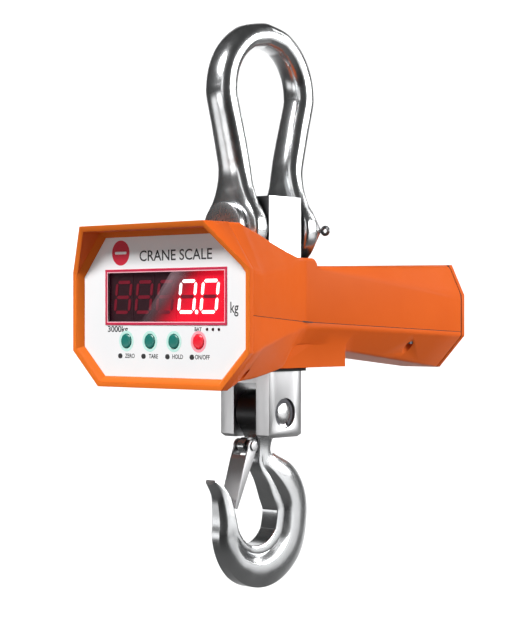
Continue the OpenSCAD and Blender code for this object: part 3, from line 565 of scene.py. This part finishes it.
def led_dark():
    """An unlit bar behind the filter, with a faint painted glow."""
    s = Shader("led_dark")
    colour = s.mix(s.noise(500, 2), rgb(0.16, 0.004, 0.016), rgb(0.22, 0.006, 0.022))
    # painted glow: the unlit bar emits its own dark red
    return s.finish(Base_Color=colour, Roughness=0.5, Emission_Color=colour, Emission_Strength=0.5)


FINISHES = {
    "forged_steel": forged_steel(),
    "pin_steel": turned_steel(),
    "cell_steel": ground_steel(),
    "bronze": plain("bronze", (0.52, 0.33, 0.12), (0.62, 0.42, 0.17), 0.28, metallic=1.0),
    "black_steel": plain("black_steel", (0.05, 0.05, 0.055), (0.09, 0.09, 0.10), 0.35, metallic=0.8),
    "orange_enamel": orange_enamel(),
    "rubber_seal": plain("rubber_seal", (0.018, 0.018, 0.018), (0.035, 0.035, 0.035), 0.62, bump=0.25),
    "panel_white": white_film(),
    "frame_red": plain("frame_red", (0.50, 0.012, 0.055), (0.58, 0.020, 0.07), 0.3, coat=0.3),
    "window_red": window_filter(),
    "led_black": led_field(),
    "led_lit": led_lit(),
    "led_dark": led_dark(),
    "lamp_red": plain("lamp_red", (0.03, 0.005, 0.006), (0.05, 0.008, 0.01), 0.2, coat=0.5),
    "circuit_green": plain("circuit_green", (0.008, 0.11, 0.045), (0.012, 0.16, 0.06), 0.35),
    "spacer_brass": plain("spacer_brass", (0.60, 0.45, 0.18), (0.70, 0.54, 0.24), 0.25, metallic=1.0),
    "chip_black": plain("chip_black", (0.02, 0.02, 0.022), (0.04, 0.04, 0.045), 0.5),
    "gauge_foil": plain("gauge_foil", (0.55, 0.25, 0.05), (0.70, 0.34, 0.08), 0.3),
    "key_teal": plain("key_teal", (0.003, 0.15, 0.12), (0.005, 0.19, 0.155), 0.32, coat=0.25),
    "key_red": plain("key_red", (0.78, 0.005, 0.022), (0.86, 0.009, 0.032), 0.32, coat=0.25),
    "battery_case": plain("battery_case", (0.03, 0.035, 0.045), (0.05, 0.055, 0.07), 0.45, bump=0.2),
    "tray_steel": plain("tray_steel", (0.38, 0.39, 0.40), (0.48, 0.49, 0.50), 0.35, metallic=0.9),
    "strap_black": plain("strap_black", (0.015, 0.015, 0.016), (0.03, 0.03, 0.032), 0.8, bump=0.5),
    "lead_grey": plain("lead_grey", (0.06, 0.06, 0.065), (0.09, 0.09, 0.095), 0.5),
    "lead_red": plain("lead_red", (0.25, 0.015, 0.012), (0.32, 0.02, 0.016), 0.5),
    "spring_steel": plain("spring_steel", (0.22, 0.22, 0.23), (0.34, 0.34, 0.35), 0.28, metallic=1.0),
}
# painted light: the brighter copy of the enamel for the bezel's forward faces
RIM_PAINTED_LIGHT = rim_painted_light()
HOOK_STEEL = hook_steel()
LATCH_STEEL = ground_steel("latch_steel", 0.74, 0.40, (1, 0.2, 0.06))
PRINT_BLACK = plain("print_black", (0.012, 0.012, 0.013), (0.03, 0.03, 0.032), 0.5)
PRINT_RED = plain("print_red", (0.55, 0.010, 0.035), (0.66, 0.018, 0.05), 0.4)
PRINT_PINK = plain("print_pink", (0.85, 0.42, 0.48), (0.90, 0.50, 0.56), 0.4)
PRINT_MINT = plain("print_mint", (0.46, 0.76, 0.68), (0.55, 0.82, 0.75), 0.4)
PRINT_ROSE = plain("print_rose", (0.86, 0.30, 0.36), (0.92, 0.38, 0.44), 0.4)


def dress_frame():
    """Every node takes the finish of its slot."""
    for part in frame["record"]["subparts"]:
        mesh = frame["nodes"][part["node"]].data
        mesh.materials.clear()
        mesh.materials.append(FINISHES[part["material_slot"]])


dress_frame()


# ---------- shackle ----------

def shackle():
    """Bar from eye to eye over the crown; each eye is the same bar spread to a flat disc.

    Below the pin the half width is the circle's, above it a curve through the widths at the heights.
    """
    bow_z = CROWN_T / 2 - BOW_R
    t = np.linspace(0, np.pi / 2, 16)
    bottom = np.column_stack([np.full(16, float(EYE_Y)), PIN_Z - EYE_R * np.cos(t)])
    leg = [[EYE_Y, PIN_Z], [EYE_Y, PIN_Z + 14], [EYE_Y, PIN_Z + 23], [EYE_Y + 0.3, PIN_Z + 34],
           [EYE_Y + 1.5, PIN_Z + 54], [(EYE_Y + 2 + BOW_R) / 2, bow_z - 32]]
    crown = [[BOW_R * math.cos(math.radians(a)), bow_z + BOW_R * math.sin(math.radians(a))]
             for a in range(-8, 80, 11)]
    over_top = [[0, CROWN_T / 2], [-BOW_R * 0.19, CROWN_T / 2 - 0.9]]
    half = np.vstack([bottom[:-1], refine(leg + crown + over_top, 12)[:-12]])
    path = np.vstack([half, (half[:-1] * [-1, 1])[::-1]])
    z = path[:, 1]
    up = z - PIN_Z
    heights = [0, 7, 14, 23, 34, 44, 54, 70, 100, 170]
    widths = [[EYE_R], [EYE_R - 1], [EYE_R - 4], [22.5], [18.6], [16.6], [15.3], [15.0], [14.4], [14]]
    round_eye = np.sqrt(np.clip(EYE_R ** 2 - up ** 2, 0.04, None))
    width = np.where(up < 0, round_eye, through(np.clip(up, 0, 169.9), heights, widths)[:, 0])
    on_leg = np.clip((up - 20) / 40, 0, 1)
    depth = EYE_T / 2 + (CROWN_T - EYE_T) / 2 * on_leg
    power = 2.3 + 3.2 * (1 - np.clip((up - 2) / 40, 0, 1)) ** 1.5
    obj = add_object("forged_shackle", *loft(swept_bar(path, depth, width, power, 72)))
    for side in (-1, 1):
        bore = add_object("bore", *turned([[0.01, -20], [14, -20], [14, 20], [0.01, 20]], "y",
                                          [0, side * EYE_Y, PIN_Z]))
        combine(obj, bore)
    smooth(obj, 40)
    return finish_piece(obj, "shackle", FINISHES["forged_steel"], "bow_shackle")


def shackle_hardware():
    """Pin with a chamfered round head, washer, nut and split cotter."""
    low, high = box_mm("shackle_pin")
    r, head_r, head_t = 14, 21.5, 8
    front = low[1]
    profile = [[0.01, 0.6], [head_r * 0.55, 0], [head_r - 1.6, 0], [head_r - 0.4, 0.4], [head_r, 1.6],
               [head_r, head_t - 0.8], [head_r - 0.6, head_t], [r, head_t],
               [r, high[1] - front - 2.4], [r - 2, high[1] - front], [0.01, high[1] - front]]
    pin = add_object("shackle_pin_turned", *turned(profile, "y", [0, front, PIN_Z]))
    finish_piece(smooth(pin, 32), "shackle", FINISHES["pin_steel"], "shackle_pin")
    refined("shackle_washer", "shackle", FINISHES["pin_steel"], 0.4)
    refined("shackle_nut", "shackle", FINISHES["pin_steel"], 0.9)
    cotter_y = middle("shackle_cotter")[1]
    ends = box_mm("shackle_cotter")
    t = np.linspace(0, 1, 60)[:, None]
    start = np.array([ends[0][0] + 2, cotter_y, PIN_Z])
    straight = start * (1 - t) + np.array([ends[1][0] - 9, cotter_y, PIN_Z]) * t
    a = np.linspace(-np.pi, np.pi, 40)
    loop = np.column_stack([ends[1][0] - 5 + 3.6 * np.cos(a), np.full(40, cotter_y),
                            PIN_Z + 3.2 * np.sin(a)])
    cotter = add_object("split_cotter", *tube(np.vstack([straight, loop]), 1.5))
    finish_piece(smooth(cotter, 40), "shackle", FINISHES["spring_steel"], "shackle_cotter")


# ---------- hook ----------

LATCH_PIN = np.array([0, -20, HOOK_Z - 28])
HOOK_EYE_R, HOOK_EYE_W = 20, 12.0    # radius and half width of the hook's eye


def hook_stations():
    """Centre line and half sizes below the eye: [y, z, half depth, half width].

    Round the bowl the half depth falls as the turned part to the power 1.44.
    """
    half, back = 10.5, 22.8
    back_y = BOWL_Y + BOWL_R + back - 1
    start = [[-0.5, HOOK_Z - 18, 13.5, 9.6], [-1, HOOK_Z - 31, 9.3, 7.4], [1, HOOK_Z - 42, 12, 7.4],
             [9.5, HOOK_Z - 50, 14.5, 9], [back_y - 12, BOWL_Z + 27, back - 2.5, half],
             [back_y - 3, BOWL_Z + 14, back - 1, half], [back_y, BOWL_Z + 1, back - 0.7, half]]
    bowl = []
    for a in range(-25, -176, -15):
        part = (-a - 25) / 150
        depth = (back - 14.8 * part ** 1.44) * 0.99
        r = BOWL_R + depth + 3 * part ** 3
        bowl.append([BOWL_Y + r * math.cos(math.radians(a)), BOWL_Z + r * math.sin(math.radians(a)),
                     depth, half])
    left = BOWL_Y - BOWL_R
    tip = [[left - 12.8, BOWL_Z + 11, 7, half - 1.6], [left - 16.5, BOWL_Z + 22, 5, half - 3],
           [left - 23.5, BOWL_Z + 30, 3.2, half - 4.3], [left - 26.4, BOWL_Z + 32.2, 2.2, half - 5.3]]
    return start + bowl + tip


# Half width of the hook's section at places across it from its inside (0) to its outside (1): plain,
# with the hollow that runs behind the inner rib, tapered towards the tip, and the eye's flat disc
ACROSS = np.array([0, 0.012, 0.05, 0.10, 0.16, 0.20, 0.215, 0.235, 0.255, 0.34, 0.41, 0.44, 0.50, 0.64,
                   0.78, 0.90, 1.0])
PLAIN = np.array([0.86, 0.92, 0.985, 1, 1, 1, 1, 1, 1, 1, 1, 1, 1, 0.99, 0.92, 0.68, 0.26])
HOLLOW = np.array([0.80, 0.87, 0.91, 0.92, 0.92, 0.90, 0.78, 0.64, 0.58, 0.79, 0.95, 0.99, 1, 1,
                   0.95, 0.80, 0.50])
TAPER = np.array([0.86, 0.93, 0.98, 1, 1, 1, 1, 1, 1, 0.99, 0.97, 0.96, 0.94, 0.89, 0.80, 0.64,
                  0.40])
EYE_DISC = np.array([0.93, 0.97, 1] + [1] * 11 + [1, 0.97, 0.93])


def hook_line():
    """The hook's stations from the top of its eye to its tip, evened out after the eye.

    Each of 14 passes moves a station to half itself plus a quarter of each neighbour.
    """
    body = np.array(refine(hook_stations(), 9))
    for _ in range(14):
        body[1:-1] = 0.5 * body[1:-1] + 0.25 * (body[:-2] + body[2:])
    angle = np.linspace(0.03, 0.72, 30) * np.pi
    z = HOOK_Z + HOOK_EYE_R * np.cos(angle)
    eye = np.column_stack([np.zeros(30), z, HOOK_EYE_R * np.sin(angle), np.full(30, HOOK_EYE_W)])
    return np.vstack([eye[z > HOOK_Z - 12.5], body])


def hook_widths(line):
    """Half width across each station: plain, then hollow, then tapered, and a disc in the eye."""
    place = (np.arange(len(line)) / len(line))[:, None]
    level = line[:, 1:2]
    shoulder = np.clip((HOOK_Z - 36 - level) / 22, 0, 1)
    before_tip = np.clip((0.80 - place) / 0.14, 0, 1)
    towards_tip = np.clip((place - 0.66) / 0.12, 0, 1)
    in_eye = np.clip((level - HOOK_Z + 26) / 14, 0, 1)
    width = PLAIN + shoulder * before_tip * (HOLLOW - PLAIN)
    width = width + towards_tip * (TAPER - width)
    width = width + in_eye * (EYE_DISC - width)
    return width * line[:, 3:4]


def hook():
    """Forged bar with a flat inside, a rib and a hollow on each side, spread to a thick eye above."""
    line = hook_line()
    half_x = hook_widths(line)
    depth = (2 * ACROSS - 1)[None, :] * line[:, 2:3]
    tangent = np.gradient(line[:, :2], axis=0)
    tangent /= np.linalg.norm(tangent, axis=1)[:, None]
    normal = np.stack([-tangent[:, 1], tangent[:, 0]], 1)
    x = np.concatenate([half_x, -half_x[:, ::-1]], 1)
    d = np.concatenate([depth, depth[:, ::-1]], 1)
    rings = np.stack([x, line[:, :1] + d * normal[:, :1], line[:, 1:2] + d * normal[:, 1:]], 2)
    obj = add_object("forged_hook", *loft(rings))
    lug = add_object("lug", *turned([[0.01, -4], [6.4, -4], [7, -3.4], [7, 3.4], [6.4, 4], [0.01, 4]],
                                    "x", LATCH_PIN))
    combine(obj, lug, "UNION")
    web = add_object("web", *slab([-4, LATCH_PIN[1], LATCH_PIN[2] - 6.8],
                                  [4, -4, LATCH_PIN[2] + 6.8]))
    combine(obj, web, "UNION")
    bore = add_object("bore", *turned([[0.01, -20], [12, -20], [12, 20], [0.01, 20]], "x",
                                      [0, 0, HOOK_Z]))
    combine(obj, bore)
    smooth(obj, 24)
    return finish_piece(obj, "hook", HOOK_STEEL, "hook")


def coil_spring():
    """Torsion spring: two short helices about the latch pin, one on each side of the hook's lug."""
    turns, pitch, r, start, wire_r = 2.4, 1.125, 4.3, 4.9, 0.6
    t = np.linspace(0, 1, 110)
    a = t * turns * 2 * np.pi
    shapes = []
    for side in (-1, 1):
        x = side * (start + t * turns * pitch)
        coil = np.column_stack([x, LATCH_PIN[1] + r * np.sin(a), LATCH_PIN[2] + r * np.cos(a)])
        shapes.append(tube(coil, wire_r, 8))
    points = np.vstack([s[0] for s in shapes])
    shift = len(shapes[0][0])
    faces = shapes[0][1] + [[i + shift for i in f] for f in shapes[1][1]]
    obj = add_object("latch_coils", points, faces)
    finish_piece(smooth(obj, 40), "hook", FINISHES["spring_steel"], "latch_spring")


def lower_hardware():
    """Load cell with its clevis, hook pin with domed ends, and the pressed latch on its pin."""
    refined("load_cell", "scale", FINISHES["cell_steel"], 0.9, 3)
    low, high = box_mm("hook_pin")
    r = (high[2] - low[2]) / 2
    length = high[0] - low[0]
    profile = [[0.01, -length / 2], [r * 0.4, -length / 2 + 0.15], [r * 0.75, -length / 2 + 0.8],
               [r * 0.93, -length / 2 + 1.7], [r, -length / 2 + 2.6]]
    mirrored = [[a, -b] for a, b in profile[::-1]]
    pin = add_object("hook_pin_turned", *turned(profile + mirrored, "x", [0, 0, HOOK_Z]))
    finish_piece(smooth(pin, 40), "scale", FINISHES["pin_steel"], "hook_pin")
    refined("latch", "latch", LATCH_STEEL, 0.35, 2)
    refined("latch_pin", "hook", FINISHES["pin_steel"], 0.4, 3)


# ---------- housing ----------

def side_width(y):
    """Half width of the casting at a depth: two straight lines, meeting behind the rim's strip."""
    wide, taper_end = HEAD_W - STRIP_IN, 2
    return np.where(y < BEND_Y, HEAD_W + (wide - HEAD_W) * (y - RIM_Y) / STRIP,
                    wide + (BODY_W - wide) * (y - BEND_Y) / (taper_end - BEND_Y))


def housing_stations():
    """Corner places of the casting at each depth: [y, then x and height of four corners]."""
    strip_y = RIM_Y + 23
    w = {y: float(side_width(np.array(y))) for y in (SHELL_Y, strip_y, BEND_Y, -70, -45, -23, -8)}
    return [
        [SHELL_Y, FLAT_W, HEAD_TOP, w[SHELL_Y], CHAMFER_TOP, w[SHELL_Y], CHAMFER_FOOT,
         FLAT_W, HEAD_FOOT],
        [strip_y, FLAT_W, HEAD_TOP, w[strip_y], CHAMFER_TOP - 2, w[strip_y], CHAMFER_FOOT + 2,
         FLAT_W - 5, HEAD_FOOT + 4],
        [BEND_Y, FLAT_W - 2, HEAD_TOP - 2.2, w[BEND_Y], CHAMFER_TOP - 3, w[BEND_Y],
         CHAMFER_FOOT + 4, FLAT_W - 9, HEAD_FOOT + 6],
        [-70, FLAT_W - 8, 69.5, w[-70], 40, w[-70], -17.5, 53, -48.5],
        [-45, FLAT_W - 13, 62.0, w[-45], 44, w[-45], -12.5, 48, -45],
        [-23, 55.5, 55.6, w[-23], 49.5, w[-23], -9.6, 45, -40],
        [-8, BODY_W + 0.5, 53, w[-8], 50.8, w[-8], -7.4, 43, -24],
        [4, BODY_W - 1.6, 53, BODY_W, 51, BODY_W, -7, 41, -21.4],
        [12, BODY_W - 1.8, 53, BODY_W, 51, BODY_W, -7, 40.2, -21.5],
        [14.6, BODY_W - 2.2, 52.4, BODY_W, 50.2, BODY_W, -7, 40, -21.6],
        [16.4, BODY_W - 2.8, 50.6, BODY_W, 48.6, BODY_W, -7, 39.9, -21.8],
        [17.2, BODY_W - 3.0, 46.5, BODY_W, 44.2, BODY_W, -7, 39.8, -21.9],
        [22, BODY_W - 3.4, 46.6, BODY_W, 43.9, BODY_W, -7.1, 39.4, -22.4],
        [TAIL_Y, BODY_W - 14.5, 52.5, BODY_W, 23.5, BODY_W, -15, 21, -45]]


def casting_solid(name, inset=0.0, longer=0.0):
    """The casting's outside: eight corners carried along its length on smooth curves.

    `inset` draws the outline in evenly, `longer` carries both ends further out.
    """
    table = np.array(housing_stations())
    y = np.unique(np.concatenate([np.linspace(SHELL_Y, TAIL_Y, 84), np.linspace(12, 22, 14),
                                  table[:, 0]]))
    at = through(y, table[:, 0], table[:, 1:])
    half = at.reshape(len(y), 4, 2)
    corners = np.concatenate([half, half[:, ::-1] * [-1, 1]], 1)
    reach = np.array([3.0, 3.5, 2.0, 2.5])
    swell = np.clip((y - 20) / (TAIL_Y - 20), 0, 1)[:, None] * np.array([3.0, 2.0, 0, 0])
    reach = np.concatenate([reach + swell, (reach + swell)[:, ::-1]], 1)
    if inset:
        corners = drawn_in(corners, inset)
    outline = rounded(corners, reach)
    y = y + np.where(y == y[0], -longer, np.where(y == y[-1], longer, 0))
    rings = np.stack([outline[..., 0], np.repeat(y[:, None], outline.shape[1], 1),
                      outline[..., 1] + DATUM_Z], 2)
    return add_object(name, *loft(rings))


def seam_block(upper, gap):
    """Everything above or below the seam, a plane falling evenly from the rim to the rear cover."""
    front, rear, rear_y = 3.8, -11.4, TAIL_Y + 6
    tilt = (rear - front) / (rear_y - RIM_Y)
    y = np.array([RIM_Y - 40, TAIL_Y + 60.0])
    seam = DATUM_Z + front + tilt * (y - RIM_Y) + (gap if upper else -gap)
    far = DATUM_Z + (200 if upper else -300)
    ring = np.array([[y[0], seam[0]], [y[1], seam[1]], [y[1], far], [y[0], far]])
    rings = np.stack([np.column_stack([np.full(4, x), ring]) for x in (-220.0, 220.0)])
    return add_object("seam_block", *loft(rings))


def rounded_block(low, high, corner):
    """A box whose upright edges are rounded."""
    low, high = np.asarray(low, float), np.asarray(high, float)
    square = np.array([[[low[0], low[1]], [low[0], high[1]], [high[0], high[1]], [high[0], low[1]]]])
    outline = rounded(square, np.full((1, 4), float(corner)), 8)[0]
    rings = np.stack([np.column_stack([outline, np.full(len(outline), z)]) for z in (low[2], high[2])])
    return loft(rings)


def upper_casting():
    """Upper half of the housing, open round the shackle's eyes."""
    obj = combine(casting_solid("upper_casting"), casting_solid("inside", WALL, 1.0))
    combine(obj, seam_block(True, 0.25), "INTERSECT")
    well = add_object("well", *rounded_block([-42, -56, DATUM_Z + 20], [42, 56, DATUM_Z + 100], 5))
    combine(obj, well)
    soften(obj, 0.5, 2, 42)
    finish_piece(obj, "scale", FINISHES["orange_enamel"], "upper_housing")


CASTING_SCREWS = [[38.5, 160, -18], [FLAT_W - 5, RIM_Y + 32, -30]]   # [x, y, height of the seat]


def lower_casting():
    """Lower half of the housing with the raised frame round the load cell and the screw seats."""
    obj = casting_solid("lower_casting")
    frame_block = add_object("frame_block", *rounded_block([-40, -42, DATUM_Z - 41],
                                                           [40, 69, DATUM_Z - 12], 4))
    combine(obj, frame_block, "UNION")
    combine(obj, casting_solid("inside", WALL, 1.0))
    hollow = add_object("hollow", *rounded_block([-36, -44, DATUM_Z - 37], [36, 65, DATUM_Z - 2], 3))
    combine(obj, hollow)
    for x, y, _ in CASTING_SCREWS:
        for side in (-1, 1):
            post = turned([[0.01, -70], [6.7, -70], [6.7, 12], [0.01, 12]], "z",
                          [side * x, y, DATUM_Z], 40)
            kept = combine(add_object("post", *post), casting_solid("limit", 1.5), "INTERSECT")
            combine(obj, kept, "UNION")
    combine(obj, seam_block(False, 0.25), "INTERSECT")
    for x, y, seat in CASTING_SCREWS:
        for side in (-1, 1):
            bore = turned([[0.01, -90], [5, -90], [5, seat], [2.8, seat], [2.8, 30], [0.01, 30]], "z",
                          [side * x, y, DATUM_Z], 40)
            combine(obj, add_object("bore", *bore))
    opening = add_object("opening", *slab([-31, -24, DATUM_Z - 60], [31, 24, DATUM_Z - 20]))
    combine(obj, opening)
    soften(obj, 0.4, 2, 42)
    finish_piece(obj, "scale", FINISHES["orange_enamel"], "lower_housing")


def bezel():
    """Bezel with its hood; faces that look forward, more than 38 degrees from edge-on, get a brighter
    copy of the enamel as painted light.
    """
    obj = soften(copy_node("front_bezel", "front_bezel_finished"), 0.6, 3)
    finish_piece(obj, "scale", FINISHES["orange_enamel"], "front_bezel")
    obj.data.materials.append(RIM_PAINTED_LIGHT)
    faces = obj.data.polygons
    normals = np.empty(len(faces) * 3)
    faces.foreach_get("normal", normals)
    # painted light: forward faces take the brighter enamel copy
    faces.foreach_set("material_index", (normals.reshape(-1, 3)[:, 1] < -0.62).astype(int))


INK = 0.05                           # thickness of print, and how deep its back sits in the panel
KEY_ROW, NAME_ROW = -17.5, -30       # heights above the datum of the keys and of their names


def print_piece(name, x, height, thick, outline, material):
    """A flat print on the panel from an outline about its own middle."""
    outline = np.asarray(outline, float) + [x, DATUM_Z + height]
    obj = add_object(name, *prism_y(outline, PANEL_Y - thick, PANEL_Y + INK))
    return finish_piece(obj, "scale", material)


def disc(r, count=48):
    """Circle about the origin."""
    t = np.linspace(0, 2 * np.pi, count, endpoint=False)
    return np.column_stack([r * np.cos(t), r * np.sin(t)])


def pill(w, h, count=8):
    """Rectangle with round ends about the origin."""
    r = min(w, h) / 2
    t = np.linspace(0, np.pi / 2, count)
    arc = np.column_stack([np.cos(t), np.sin(t)]) * r + [w / 2 - r, h / 2 - r]
    left = arc[::-1] * [-1, 1]
    return np.vstack([arc, left, -arc, -left])


def ring_print(name, x, height, inner, outer, thick, material):
    """A printed ring round a key."""
    profile = np.array([[inner, -thick], [outer, -thick], [outer, INK], [inner, INK], [inner, -thick]])
    t = np.linspace(0, 2 * np.pi, 56, endpoint=False)[None, :]
    r, h = profile[:, :1], profile[:, 1:] + 0 * t
    rings = np.stack([r * np.cos(t), h, r * np.sin(t)], 2) + [x, PANEL_Y, DATUM_Z + height]
    obj = add_object(name, *loft(rings, ends=False))
    return finish_piece(obj, "scale", material)


def lettering(name, text, x, height, size, material, stretch, bold):
    """Raised print from plain letters, thickened by `bold`, centred on x and the height."""
    curve = bpy.data.curves.new(name, "FONT")
    curve.body, curve.size = text, size * MM
    curve.extrude = INK * MM
    curve.offset = bold * MM
    curve.align_x, curve.align_y = "CENTER", "CENTER"
    curve.resolution_u = 5
    source = bpy.data.objects.new(name + "_source", curve)
    bpy.context.scene.collection.objects.link(source)
    mesh = bpy.data.meshes.new_from_object(source.evaluated_get(bpy.context.evaluated_depsgraph_get()))
    bpy.data.objects.remove(source)
    flat = np.empty(len(mesh.vertices) * 3)
    mesh.vertices.foreach_get("co", flat)
    flat = flat.reshape(-1, 3)
    placed = np.column_stack([flat[:, 0] * stretch + x * MM, PANEL_Y * MM - flat[:, 2],
                              flat[:, 1] + (DATUM_Z + height) * MM])
    mesh.vertices.foreach_set("co", placed.ravel())
    shape = bmesh.new()
    shape.from_mesh(mesh)
    bmesh.ops.remove_doubles(shape, verts=shape.verts, dist=MERGE)
    bmesh.ops.recalc_face_normals(shape, faces=shape.faces)
    shape.to_mesh(mesh)
    shape.free()
    obj = bpy.data.objects.new(name, mesh)
    bpy.context.scene.collection.objects.link(obj)
    return finish_piece(obj, "scale", material)


def key_cap(node, material):
    """A key with a shallow dome; flange and stem stay as they are behind the panel."""
    low, high = box_mm(node)
    x, _, z = (low + high) / 2
    r, front = 6.0, low[1]
    lip = SHELL_Y + 0.3 - front
    profile = [[0.01, 0], [r * 0.45, 0.06], [r * 0.75, 0.22], [r * 0.9, 0.45], [r * 0.98, 0.85],
               [r, 1.3], [r, lip], [r + 1.6, lip], [r + 1.6, lip + 1.4], [2, lip + 1.4],
               [2, high[1] - front], [0.01, high[1] - front]]
    cap = add_object(node + "_domed", *turned(profile, "y", [x, front, z], 56))
    return finish_piece(smooth(cap, 35), node, material, node)


def graphics():
    """Printed panel: plain heading, badge, unit, capacity, keys with their rings, numbers and names."""
    lettering("heading_print", "CRANE SCALE", 15, 52.5, 12.5, PRINT_BLACK, 1.05, 0.10)
    print_piece("badge_print", -48.7, 56, INK, disc(10.5), PRINT_RED)
    print_piece("badge_bar_print", -48.7, 56, 0.09, pill(14, 2.2), FINISHES["panel_white"])
    lettering("unit_print", "kg", 80.4, 9.5, 12.5, PRINT_BLACK, 0.8, 0.10)
    lettering("capacity_print", "3000kg", -52.5, -7.8, 7.0, PRINT_BLACK, 1.2, 0.14)
    lettering("lamps_print", "BAT", 41, -7.6, 4.4, PRINT_BLACK, 1.0, 0.12)
    teal, red = (FINISHES["key_teal"], PRINT_MINT), (FINISHES["key_red"], PRINT_ROSE)
    for node, word, (cap, tint) in (("zero_key", "ZERO", teal), ("tare_key", "TARE", teal),
                                    ("hold_key", "HOLD", teal), ("power_key", "ON/OFF", red)):
        x = middle(node)[0]
        ring_print(node + "_ring", x, KEY_ROW, 6.35, 8.6, 2 * INK, tint)
        key_cap(node, cap)
        print_piece(node + "_number", x - 7.4, NAME_ROW, INK, pill(5.2, 4.2), PRINT_BLACK)
        lettering(node + "_name", word, x + 4.2, NAME_ROW, 5.0, PRINT_BLACK, 0.9, 0.10)
    window_lines()


def window_lines():
    """Four pale lines printed on the window's frame, 2 mm in from its outline."""
    low, high = box_mm("window_frame")
    t, w = 0.8, 2.0
    x, z = (low[0] + high[0]) / 2, (low[2] + high[2]) / 2 - DATUM_Z
    wide, tall = high[0] - low[0] - 2 * w, high[2] - low[2] - 2 * w
    for name, at, size in (("upper", (x, z + tall / 2 - t / 2), (wide, t)),
                           ("lower", (x, z - tall / 2 + t / 2), (wide, t)),
                           ("left", (x - wide / 2 + t / 2, z), (t, tall - 2 * t)),
                           ("right", (x + wide / 2 - t / 2, z), (t, tall - 2 * t))):
        flat = np.array([[-1, -1], [1, -1], [1, 1], [-1, 1]]) * np.array(size) / 2
        print_piece("window_line_" + name, at[0], at[1], 0.42, flat, PRINT_PINK)


def display_end():
    """Bezel, panel with its print, and the rear cover at the other end."""
    bezel()
    refined("rear_cover", "scale", FINISHES["orange_enamel"], 0.7, 3)
    refined("display_panel", "scale", FINISHES["panel_white"], 0.1, 1)
    refined("window_frame", "scale", FINISHES["frame_red"], 0.12, 2)
    graphics()


# ---------- studio ----------

FLOOR_Z, SWEEP_R, SWEEP_START = -0.95, 1.4, 2.6     # metres: floor, its curve up, and where that starts
FLOOR_FRONT, FLOOR_HALF, PAPER_TOP = -4.0, 5.0, 5.0
# paper tone: painted shade near the object, brighter paper far behind it
PAPER_PAINTED_SHADE_NEAR, PAPER_FAR = rgb(0.13, 0.13, 0.13), rgb(0.43, 0.43, 0.43)
PAPER_FADE = 200, 1600                              # millimetres behind the object

# Lamps, in metres and watts: [name, place, size, power, aim, spread in degrees]
LAMPS = [
    ("side_box", (1.80, 1.15, 0.27), (1.7, 0.8), 18.5, (0, 0, -0.15), 110),
    ("side_low", (1.90, 1.05, -0.62), (2.2, 0.50), 3.8, (0, 0, -0.40), 180),
    ("front_top", (-0.3, -1.7, 1.35), (1.0, 0.7), 10.8, (0, 0, -0.25), 70),
    ("front_fill", (-0.35, -2.15, -0.60), (1.3, 0.5), 2.6, (0, 0, -0.20), 120),
    ("front_low", (-1.55, -1.65, -0.68), (0.9, 0.46), 0.9, (0, 0, -0.30), 120),
    ("left_strip", (0.50, -1.9, 0.1), (0.35, 1.2), 1.0, (0, 0, -0.25), 120),
    ("backdrop_left", (-3.0, 0.6, 1.6), (1.5, 1.5), 104, (-2.0, 3.4, -0.3), 125),
    ("backdrop_right", (0.9, 3.6, 1.9), (1.5, 1.5), 98, (-2.4, 2.6, -0.4), 98)]


def studio_floor():
    """Floor that curves up in a quarter circle into a backdrop; the paper is darker near the object,
    painted shade there, and brighter towards the back.
    """
    t = np.linspace(0, np.pi / 2, 24)
    curve = [[FLOOR_FRONT, FLOOR_Z]]
    curve += [[SWEEP_START + SWEEP_R * math.sin(a), FLOOR_Z + SWEEP_R * (1 - math.cos(a))] for a in t]
    curve = np.array(curve + [[SWEEP_START + SWEEP_R, PAPER_TOP]])
    away = np.array([-math.sin(AZIMUTH), math.cos(AZIMUTH), 0])
    across = np.array([math.cos(AZIMUTH), math.sin(AZIMUTH), 0])
    rows = curve[:, :1, None] * away + curve[:, 1:, None] * np.array([0, 0, 1.0])
    grid = rows + np.array([-FLOOR_HALF, FLOOR_HALF])[None, :, None] * across
    points, faces = loft(grid / MM, ends=False, around=False)
    mesh = bpy.data.meshes.new("studio_floor")
    mesh.from_pydata((points * MM).tolist(), [], faces)
    mesh.polygons.foreach_set("use_smooth", np.ones(len(mesh.polygons), bool))
    floor = bpy.data.objects.new("studio_floor", mesh)
    bpy.context.scene.collection.objects.link(floor)
    sheet = Shader("studio_paper")
    # painted shade: the paper darkens near the object
    behind = (sheet.axis(1) * float(away[1]) + sheet.axis(0) * float(away[0])).step(*PAPER_FADE)
    mesh.materials.append(sheet.finish(Base_Color=sheet.mix(behind, PAPER_PAINTED_SHADE_NEAR, PAPER_FAR),
                                       Roughness=0.95, Specular_IOR_Level=0.0))


def studio_light():
    """Soft lamps aimed at the object or at the backdrop, and a faint even sky."""
    for name, at, size, watts, aim, spread in LAMPS:
        data = bpy.data.lights.new(name, "AREA")
        data.shape, data.size, data.size_y, data.energy = "RECTANGLE", size[0], size[1], watts
        data.spread = math.radians(spread)
        lamp = bpy.data.objects.new(name, data)
        lamp.location = at
        lamp.rotation_euler = (Vector(aim) - Vector(at)).to_track_quat("-Z", "Y").to_euler()
        bpy.context.scene.collection.objects.link(lamp)
    world = bpy.data.worlds.new("studio_sky")
    world.use_nodes = True
    bpy.context.scene.world = world
    sky = world.node_tree.nodes["Background"]
    sky.inputs["Color"].default_value = rgb(1.0, 1.0, 1.0)
    sky.inputs["Strength"].default_value = 0.06


shackle()
shackle_hardware()
hook()
coil_spring()
lower_hardware()
upper_casting()
lower_casting()
display_end()
studio_floor()
studio_light()
